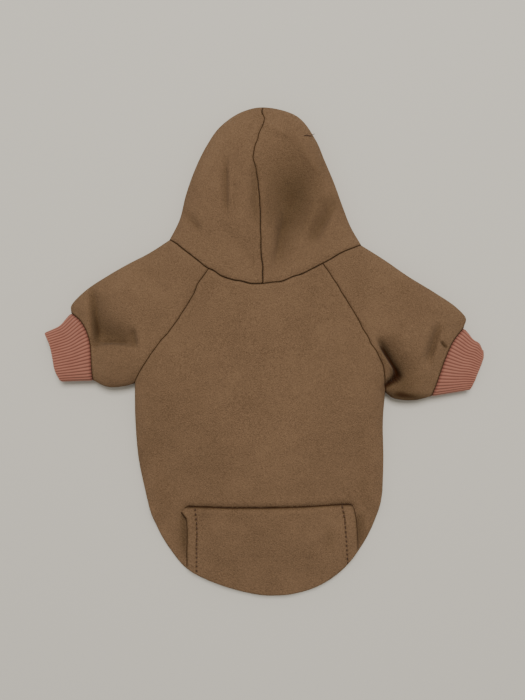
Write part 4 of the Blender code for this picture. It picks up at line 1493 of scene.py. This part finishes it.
@dataclass
class Sleeve:
    """A raglan sleeve, a tube from the armhole to the cuff seam."""

    garment: Garment
    side: Side
    raglan_runs: int = 110
    neck_runs: int = 34
    front_raglan_runs: int = 40
    front_neck_runs: int = 26
    length_runs: int = 150
    cuff_roll: float = 0.55
    fold_reach: float = 0.004

    def build(self) -> bpy.types.Object:
        """Builds the sleeve's wall.

        Returns:
            The mesh object.
        """
        garment, sizes, side = self.garment, self.garment.sizes, self.side
        form, top, below = garment.form, sizes.top_roll, sizes.under_roll
        raglan = garment.cut("raglan", side, self.raglan_runs, 0.0, top)
        neck = garment.cut("neck_shoulder", side, self.neck_runs, 0.0, top)
        armhole = np.vstack([raglan[::-1], neck[1:]])
        low = garment.cut("underarm_fold", side, self.length_runs)
        high = garment.cut("shoulder_fold", side, self.length_runs)
        roll = self.cuff_roll * top
        cuff = garment.cut("cuff_seam", side, len(armhole) - 1, roll, roll)
        grid = self._gap(fill(armhole, cuff, low, high))
        shell = Shell(f"{side.word}_sleeve_cloth")
        seam = distance_to(garment.draft.line("cuff_seam", side).points[::4], grid)
        furrow = bell(seam, sizes.groove_width)
        # Painted shade in the furrow along the cuff seam, on top of the seams' and folds' painted
        # shade.
        crease = np.maximum(garment.crease_at(grid), furrow)
        lifted = form.lift(grid, Face.TOP)
        lifted[..., 2] -= sizes.groove_depth * furrow * ease(form.away(grid) / self.fold_reach)
        shell.add(lifted, sizes.wall, crease, Face.TOP)
        raglan = garment.cut("front_raglan", side, self.front_raglan_runs, 0.0, below)
        neck = garment.cut("front_neck_shoulder", side, self.front_neck_runs, below, 0.0)
        front = np.vstack([raglan[::-1], neck[::-1][1:]])
        cuff = garment.cut("cuff_seam", side, len(front) - 1, below, below)
        under = self._gap(fill(front, cuff, low, high))
        under[0], under[-1] = grid[0], grid[-1]
        shell.add(form.lift(under, Face.UNDER), sizes.wall, 0.0, Face.UNDER)
        return shell.build(garment.draft.shift)

    def _gap(self, grid: Array) -> Array:
        """Keeps the seam gap at the armhole, and holds the folds in place."""
        moved = self.garment.inset(grid, "low")
        moved[0, 0], moved[-1, 0] = grid[0, 0], grid[-1, 0]
        return moved

    def dress(self, item: bpy.types.Object) -> None:
        """Finishes the sleeve."""
        word = self.side.word
        dress(item, self.garment.sleeve_fleece[self.side], f"{word}_sleeve")


@dataclass
class HoodHalf:
    """Half of the hood, from the centre seam round the edge to the face hem."""

    garment: Garment
    side: Side
    edge_runs: int = 120
    centre_runs: int = 44
    shoulder_runs: int = 34
    throat_runs: int = 20
    crown_points: int = 120
    rise_points: int = 160
    crown_shares: tuple[float, float] = (0.075, 0.26)

    def build(self) -> bpy.types.Object:
        """Builds the half's wall.

        Returns:
            The mesh object.
        """
        garment, sizes, side = self.garment, self.garment.sizes, self.side
        form, seam, cut = garment.form, garment.draft.hood_seam, garment.cut
        edge = cut("hood_edge", side, self.edge_runs)
        shoulder = cut("neck_shoulder", side, self.shoulder_runs, 0.0, sizes.top_roll)
        centre = cut("neck_centre", side, self.centre_runs)
        neck = np.vstack([shoulder[::-1], centre[::-1][1:]])
        turn_at = seam.length - self.crown_shares[side.value] * sizes.hood_length
        crown = Curve(seam.at(np.linspace(turn_at, seam.length, self.crown_points))).reversed()
        crown_line = crown.graded(len(neck) - 1, sizes.top_roll, 0.0)
        rise = Curve(seam.at(np.linspace(0.0, turn_at, self.rise_points))).graded(self.edge_runs)
        crown_line[0], crown_line[-1] = edge[-1], rise[-1]
        grid = fill(neck, crown_line, edge, rise)
        moved = garment.inset(grid, "low", "last", "high")
        moved[0] = grid[0]
        shell = Shell(f"hood_{side.word}_cloth")
        shell.add(form.lift(moved, Face.TOP), sizes.wall, garment.crease_at(moved), Face.TOP)
        shoulder = cut("front_neck_shoulder", side, self.shoulder_runs, sizes.under_roll, 0.0)
        throat = cut("front_neck_centre", side, self.throat_runs)
        front = np.vstack([shoulder, throat[1:]])
        face = cut("face_edge", side, self.edge_runs)
        brow = Curve.through(np.stack([edge[-1], face[-1]])).graded(
            len(front) - 1, sizes.under_roll, 0.0)
        under = fill(front, brow, edge, face)
        doubled = ease((sizes.face_hem_width - distance_to(face, under)) / sizes.hem_step)
        moved = garment.inset(under, "low", "high")
        moved[0] = grid[0]
        shell.add(form.lift(moved, Face.UNDER), garment.hemmed(doubled), 0.0, Face.UNDER)
        return shell.build(garment.draft.shift)

    def dress(self, item: bpy.types.Object) -> None:
        """Finishes the half."""
        dress(item, self.garment.fleece, f"hood_{self.side.word}")


@dataclass
class Cuff:
    """A ribbed cuff: an open tube of thick rib knit with a rounded end."""

    garment: Garment
    side: Side
    ribs: int = 46
    per_rib: int = 7
    rows: int = 56
    around_runs: int = 96
    wall: float = 0.0024
    rib_depth: float = 0.0007
    stitch: float = 0.00125
    stitch_depth: float = 0.00016
    end_steps: int = 7
    slope_share: float = 0.2
    rib_power: float = 0.75
    stitch_lean: float = 1.6
    seam_reach: float = 0.0016
    seam_depth: float = 0.0009
    # How strongly painted shade darkens the cuff beside its seam, in its grooves and on its
    # inside.
    seam_shade: float = 0.7
    groove_power: float = 1.3
    inside_shade: float = 0.6

    def _loops(self) -> Array:
        """Even loops round the cuff, from its seam to its end.

        Returns:
            The points, by place round the cuff and row.
        """
        garment, roll = self.garment, 0.5 * self.garment.sizes.top_roll
        seam, end = (garment.cut(name, self.side, self.around_runs, roll, roll)
                     for name in ("cuff_seam", "cuff_end"))
        low, high = (garment.cut(name, self.side, self.rows)
                     for name in ("cuff_low_edge", "cuff_top_edge"))
        flat = fill(seam, end, low, high)
        over = garment.form.lift(flat, Face.TOP)
        below = garment.form.lift(flat, Face.UNDER)
        loops = []
        for j in range(self.rows + 1):
            loop = Curve(np.vstack([over[:, j], below[::-1, j][1:-1], over[:1, j]]))
            marks = np.linspace(0.0, loop.length, self.ribs * self.per_rib + 1)
            loops.append(loop.at(marks)[:-1])
        return np.stack(loops, 1)

    def build(self) -> bpy.types.Object:
        """Builds the cuff's wall with ribs and stitches.

        Returns:
            The mesh object.
        """
        base = self._loops()
        around = np.roll(base, -1, 0) - np.roll(base, 1, 0)
        along = np.gradient(base, axis=1)
        along[..., 2] *= self.slope_share
        along = unit(along)
        way = unit(np.cross(around, along))
        if ((base - base.mean(0)[None]) * way).sum() < 0.0:
            way = -way
        run = np.cumsum(np.linalg.norm(np.diff(base, axis=1, prepend=base[:, :1]), axis=2), axis=1)
        phase = (np.arange(len(base)) / self.per_rib % 1.0)[:, None]
        dome = np.abs(np.sin(math.pi * phase)) ** self.rib_power
        arms = 0.5 * np.abs(phase - 0.5)
        bead = np.cos(math.tau * (run / self.stitch + arms * self.stitch_lean))
        inset = 0.5 * self.wall
        seam_pull = bell(run, self.seam_reach)
        relief = self.rib_depth * (dome - 1.0) + self.stitch_depth * bead * dome
        relief = relief - self.seam_depth * seam_pull
        outer = base + way * relief[..., None]
        middle = outer[:, -1] - way[:, -1] * inset
        steps = np.linspace(0.0, math.pi, self.end_steps + 2)[1:-1]
        bend = [middle + inset * (math.cos(step) * way[:, -1] + math.sin(step) * along[:, -1])
                for step in steps]
        inner = base - way * self.wall
        skin = np.concatenate([outer, np.stack(bend, 1), inner[:, ::-1]], axis=1)
        # Painted shade: darkest in the grooves between the ribs and beside the cuff seam, dimmed
        # on the rolled end and the inside.
        deep = (1.0 - dome) * np.ones_like(run)
        deep = np.clip(deep**self.groove_power + self.seam_shade * seam_pull, 0.0, 1.0)
        cap = np.repeat(deep[:, -1:], self.end_steps, axis=1) * self.inside_shade
        shade = np.concatenate([deep, cap, np.full_like(run, self.inside_shade)], axis=1)
        skin[..., 2] = np.maximum(skin[..., 2], 0.0)
        index = np.arange(shade.size).reshape(shade.shape)
        after = np.roll(index, -1, 0)
        corners = (index, after, np.roll(after, -1, 1), np.roll(index, -1, 1))
        quads = np.stack([corner.ravel() for corner in corners], 1)
        points = skin.reshape(-1, 3) + self.garment.draft.shift
        if (facing(points, quads) * points[quads].mean(1)).sum() < 0.0:
            quads = quads[:, ::-1]
        return make_mesh(f"{self.side.word}_cuff_knit", points, quads, {"crease": shade.ravel()})

    def dress(self, item: bpy.types.Object) -> None:
        """Finishes the cuff."""
        dress(item, self.garment.rib, f"{self.side.word}_cuff")


@dataclass
class Pocket:
    """The patch pocket with stitched side hems, open at both sides."""

    garment: Garment
    wall: float = 0.0020
    seat: float = 0.0007
    bulge: float = 0.0030
    bulge_power: float = 1.2
    swell_scale: float = 1.7
    top_lip: float = 1.3
    thinnest: float = 0.35
    # Painted shade at the stitch holes and on the pocket's under side.
    stitch_shade: float = 0.9
    inside_shade: float = 0.7
    edge_clear: float = 0.0012
    hems: tuple[float, float] = (0.0078, 0.0094)
    hem_rise: float = 0.0007
    lip: float = 0.0016
    lip_runs: int = 5
    lip_share: float = 0.8
    furrow: tuple[float, float] = (0.00022, 0.0008)
    dimple: tuple[float, float] = (0.0005, 0.0007)
    strip_step: tuple[float, float] = (0.0004, 0.0012)
    unevenness: float = 0.00018
    # Width of the painted shadow line along the pocket's top and side edges.
    crease_reach: float = 0.0012
    low_reach: float = 0.003
    ear: float = 0.0036
    ear_rise: float = 0.25
    ear_spot: tuple[float, float, float] = (0.0038, 0.0036, 0.0024)
    across_runs: int = 290
    along_runs: int = 150
    stitch_pitch: float = 0.0036
    stitch_length: float = 0.0016
    stitch_radius: float = 0.00048
    stitch_start: float = 0.0028
    stitch_ends: tuple[float, float] = (0.0020, 0.0015)
    stitch_rise: float = 0.00030
    stitch_sink: float = 0.00005
    outer: Array = field(init=False)
    from_sides: list[Array] = field(init=False)

    def _ends(self) -> tuple[Array, int, int]:
        """Where the pocket's sides meet the tail edge.

        Returns:
            The low edge's line, and where on it the left and right corners are.
        """
        draft = self.garment.draft
        tail = draft.tail
        rim = tail.points + tail.sides(tail.run) * self.edge_clear
        found = []
        for side in Side:
            line = draft.line("pocket_side", side).points
            way = unit(line[-1] - line[-2])
            offset = rim - line[-1]
            miss = np.abs(offset[:, 0] * way[1] - offset[:, 1] * way[0])
            miss[offset @ way < 0.0] = np.inf
            found.append(int(np.argmin(miss)))
        return rim, found[0], found[1]

    def _flat(self) -> Array:
        """The pocket seen from above, as a grid of points.

        Returns:
            The grid, from the left side and the top edge.
        """
        draft = self.garment.draft
        rim, first, last = self._ends()
        rolls = (self.lip, self.lip, self.lip_runs)
        low = Curve(rim[first:last + 1]).graded(self.across_runs, *rolls)
        high = draft.pocket_top.graded(self.across_runs, *rolls)
        edges = []
        for side, corner in ((Side.LEFT, low[:1]), (Side.RIGHT, low[-1:])):
            line = Curve(np.vstack([draft.line("pocket_side", side).points, corner]))
            radius = draft.sizes.pocket_shoulders[side.value]
            kept = Curve(line.at(np.linspace(radius, line.length, 200)))
            edges.append(kept.graded(self.along_runs, *rolls))
        high[0], high[-1] = edges[0][0], edges[1][0]
        return fill(high, low, *edges)

    def _with_ear(self, flat: Array) -> Array:
        """Lets a corner of seam allowance poke out beside the top left corner.

        Args:
            flat: The pocket's grid.

        Returns:
            The grid with the corner drawn out.
        """
        down = np.linalg.norm(flat - flat[:1, :1], axis=2)
        row = np.linalg.norm(flat[:1] - flat[:1, :1], axis=2)
        place, reach, depth = self.ear_spot
        poke = np.clip(1.0 - np.abs(row - place) / reach, 0.0, 1.0)
        near = bell(np.sqrt(np.maximum(down**2 - row**2, 0.0)), depth)
        moved = flat.copy()
        moved[..., 0] -= self.ear * poke * near
        moved[..., 1] += self.ear_rise * self.ear * poke * near
        return moved

    def build(self) -> bpy.types.Object:
        """Builds the pocket's wall.

        Returns:
            The mesh object.
        """
        garment, plain = self.garment, self._flat()
        flat = self._with_ear(plain)
        rows, columns = flat.shape[:2]
        down = np.linalg.norm(np.diff(flat, axis=1, prepend=flat[:, :1]), axis=2)
        down = np.cumsum(down, axis=1)
        self.from_sides = [distance_to(self._run_on(plain[k]), plain) for k in (0, -1)]
        from_side, from_low = np.minimum(*self.from_sides), down[:, -1:] - down
        hems = list(zip(self.from_sides, self.hems))
        seam = np.min([np.abs(edge - hem) for edge, hem in hems], axis=0)
        inside = np.max([hem - edge for edge, hem in hems], axis=0)
        arch = np.sin(math.pi * np.clip(down / down[:, -1:], 0.0, 1.0)) ** self.bulge_power
        under = garment.form.height(flat, Face.TOP) + self.seat + self.bulge * arch
        strip = ease((inside + self.strip_step[0]) / self.strip_step[1])
        beat = 0.5 + 0.5 * np.cos(math.tau * (down - self.stitch_start) / self.stitch_pitch)
        near = bell(seam, self.dimple[1])
        furrow = self.furrow[0] * bell(seam, self.furrow[1])
        dimple = self.dimple[0] * near * beat**3
        rise = self.wall + self.hem_rise * strip - furrow - dimple
        rise = rise + self.unevenness * garment.form.swell.at(flat * self.swell_scale)
        round_off = np.zeros_like(rise)
        lips = ((from_side, self.lip), (down, self.top_lip * self.lip), (from_low, self.lip))
        for gap, reach in lips:
            round_off = np.maximum(round_off, reach * self.lip_share * (1.0 - bow(gap, reach)))
        rise = np.maximum(rise - round_off, self.thinnest * self.wall)
        self.outer = np.concatenate([flat, (under + rise)[..., None]], 2)
        inner = np.concatenate([flat, under[..., None]], 2)
        points = np.vstack([self.outer.reshape(-1, 3), inner.reshape(-1, 3)])
        count = rows * columns
        quads = grid_quads(rows, columns)
        index = np.arange(count).reshape(rows, columns)
        ring = np.concatenate([index[:, 0], index[-1, 1:], index[-2::-1, -1], index[0, -2:0:-1]])
        after = np.roll(ring, -1)
        rims = np.stack([after, ring, ring + count, after + count], 1)
        # Painted shade: a dark shadow line along the pocket's top and side edges, the folds'
        # painted shade, and dark dimples at the stitches.
        crease = bell(np.minimum(down, from_side), self.crease_reach)
        crease *= ease(from_low / self.low_reach)
        crease = np.maximum(crease, garment.form.folds(flat)[1])
        crease = np.maximum(crease, self.stitch_shade * near * beat**2)
        if facing(points, quads[:columns])[:, 2].sum() < 0.0:
            quads, rims = quads[:, ::-1], rims[:, ::-1]
        rings = np.vstack([quads, quads[:, ::-1] + count, rims])
        # The pocket's under side gets even painted shade.
        values = {"crease": np.concatenate([crease.ravel(), np.ones(count) * self.inside_shade])}
        return make_mesh("pocket_cloth", points + garment.draft.shift, rings, values)

    @staticmethod
    def _run_on(line: Array) -> Array:
        """A side line carried on straight past both of its ends."""
        ways = (line[0] - line[12], line[-1] - line[-12])
        start, stop = (RUN_ON * way / np.linalg.norm(way) for way in ways)
        return np.vstack([line[:1] + start, line, line[-1:] + stop])

    def stitches(self) -> bpy.types.Object:
        """Sews the short dark stitches of both side hems.

        Returns:
            One mesh of all the stitches.
        """
        points: list[Array] = []
        rings: list[list[int]] = []
        share = np.linspace(0.0, 1.0, 7)
        for edge, hem in zip(self.from_sides, self.hems):
            row = np.argmin(np.abs(edge - hem), axis=0)
            line = Curve(self.outer[row, np.arange(len(row))])
            first, spare = self.stitch_ends
            for start in np.arange(first, line.length - spare, self.stitch_pitch):
                spine = line.at(start + share * self.stitch_length)
                spine[:, 2] += self.stitch_rise * np.sin(math.pi * share) - self.stitch_sink
                add_tube(points, rings, spine, self.stitch_radius, 7)
        placed = np.vstack(points) + self.garment.draft.shift
        return make_mesh("pocket_stitches", placed, np.array(rings))

    def dress(self, item: bpy.types.Object, stitches: bpy.types.Object) -> None:
        """Finishes the pocket and its stitches."""
        dress(item, self.garment.fleece, "pocket")
        dress(stitches, self.garment.thread)


def add_tube(
    points: list[Array], rings: list[list[int]], spine: Array, radius: float, sides: int
) -> None:
    """Adds a closed round strand along a spine.

    Args:
        points: The mesh's points so far, added to.
        rings: The mesh's faces so far, added to.
        spine: The strand's middle line.
        radius: Its radius, drawn in at both ends.
        sides: How many sides it has.
    """
    first = sum(len(block) for block in points)
    way = unit(np.gradient(spine, axis=0))
    across = unit(np.cross(way, np.array([0.0, 0.0, 1.0])), 1e-9)
    up = np.cross(across, way)
    turn = np.linspace(0.0, math.tau, sides, endpoint=False)
    share = np.linspace(-1.0, 1.0, len(spine))
    girth = radius * np.sqrt(np.clip(1.0 - 0.85 * share**6, 0.05, 1.0))
    c, s = np.cos(turn)[None, :, None], np.sin(turn)[None, :, None]
    ring = c * across[:, None] + s * up[:, None]
    points.append((spine[:, None] + ring * girth[:, None, None]).reshape(-1, 3))
    count = len(spine)
    for i in range(count - 1):
        for k in range(sides):
            n = (k + 1) % sides
            a, b = first + i * sides, first + (i + 1) * sides
            rings.append([b + k, b + n, a + n, a + k])
    for base, back in ((first, True), (first + (count - 1) * sides, False)):
        for k in range(1, sides - 1, 2):
            last = k + 2 if k + 2 < sides else 0
            ring_ids = [base, base + k, base + k + 1, base + last]
            rings.append(ring_ids if back else ring_ids[::-1])


@dataclass
class LooseThread:
    """A stray end of dark thread on the edge of the hood."""

    garment: Garment
    at: tuple[float, float] = (0.0374, 0.1683)
    length: float = 0.0092
    radius: float = 0.00028
    slant: float = 0.0030
    sway: float = 0.0004
    sways: float = 2.6
    seat: float = 1.6
    droop: float = 0.0035

    def build(self) -> bpy.types.Object:
        """Builds the strand.

        Returns:
            The mesh object.
        """
        share = np.linspace(0.0, 1.0, 24)
        x = self.at[0] + self.length * (share - 0.5)
        sway = self.sway * np.sin(self.sways * share * math.pi)
        y = self.at[1] + self.slant * share + sway
        flat = np.stack([x, y], 1) - self.garment.draft.shift[:2]
        z = self.garment.form.height(flat, Face.TOP) + self.seat * self.radius
        z = np.maximum(z, z[0] - self.droop * share)
        points: list[Array] = []
        rings: list[list[int]] = []
        add_tube(points, rings, np.column_stack([flat, z]), self.radius, 8)
        placed = np.vstack(points) + self.garment.draft.shift
        return make_mesh("loose_thread", placed, np.array(rings))

    def dress(self, item: bpy.types.Object) -> None:
        """Finishes the strand."""
        dress(item, self.garment.thread)


@dataclass
class Studio:
    """The pale floor, the soft light and the camera above the garment."""

    floor_size: float = 6.0
    lens: float = 27.05
    sensor: float = 36.0
    nearest: float = 0.01
    distance: float = 0.421
    elevation: float = 85.0
    room_light: float = 0.50
    room_tone: Colour = (0.97, 0.98, 0.97, 1.0)
    lamp_place: tuple[float, float, float] = (0.10, 0.95, 2.10)
    lamp_size: float = 1.1
    lamp_power: float = 48.0
    aim: tuple[float, float, float] = (-0.0009, -0.0057, 0.010)

    def build(self) -> None:
        """Sets up the floor, the lights and the camera."""
        self._floor()
        self._world()
        self._lamp()
        self._camera()

    def _floor(self) -> None:
        """A plain sheet of floor."""
        half = self.floor_size / 2.0
        corners = [(-half, -half, 0.0), (half, -half, 0.0), (half, half, 0.0), (-half, half, 0.0)]
        mesh = bpy.data.meshes.new("pale_floor")
        mesh.from_pydata(corners, [], [(0, 1, 2, 3)])
        mesh.materials.append(FloorFinish().make())
        add_object("pale_floor", mesh)

    def _world(self) -> None:
        """Even light from all round."""
        world = bpy.data.worlds.new("soft_room")
        world.use_nodes = True
        shade = world.node_tree.nodes["Background"]
        shade.inputs[0].default_value = self.room_tone
        shade.inputs[1].default_value = self.room_light
        bpy.context.scene.world = world

    def _lamp(self) -> None:
        """A square soft light that faces the garment."""
        lamp = bpy.data.lights.new("window_light", "AREA")
        lamp.shape, lamp.size, lamp.energy = "SQUARE", self.lamp_size, self.lamp_power
        item = add_object("window_light", lamp)
        item.location = self.lamp_place
        way = unit(np.array(self.lamp_place))
        item.rotation_euler = (
            math.acos(way[2]), 0.0, math.atan2(way[1], way[0]) + math.pi / 2.0
        )

    def _camera(self) -> None:
        """A camera over the garment, leaning a little from upright."""
        camera = bpy.data.cameras.new("camera")
        camera.lens = self.lens
        camera.sensor_width, camera.clip_start = self.sensor, self.nearest
        item = add_object("camera", camera)
        lean = math.radians(90.0 - self.elevation)
        item.location = (
            self.aim[0],
            self.aim[1] - self.distance * math.sin(lean),
            self.aim[2] + self.distance * math.cos(lean),
        )
        item.rotation_euler = (lean, 0.0, 0.0)
        bpy.context.scene.camera = item


def main() -> None:
    """Builds and dresses every piece of the garment in order."""
    logging.basicConfig(level=logging.INFO, format="%(name)s: %(message)s")
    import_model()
    Studio().build()
    garment = Garment()
    panels: list[BackPanel | ChestPanel | Sleeve | HoodHalf | Cuff] = [
        BackPanel(garment), ChestPanel(garment),
    ]
    for side in Side:
        panels += [Sleeve(garment, side), HoodHalf(garment, side), Cuff(garment, side)]
    for panel in panels:
        panel.dress(panel.build())
    pocket = Pocket(garment)
    patch = pocket.build()
    pocket.dress(patch, pocket.stitches())
    thread = LooseThread(garment)
    thread.dress(thread.build())


if __name__ == "__main__":
    main()
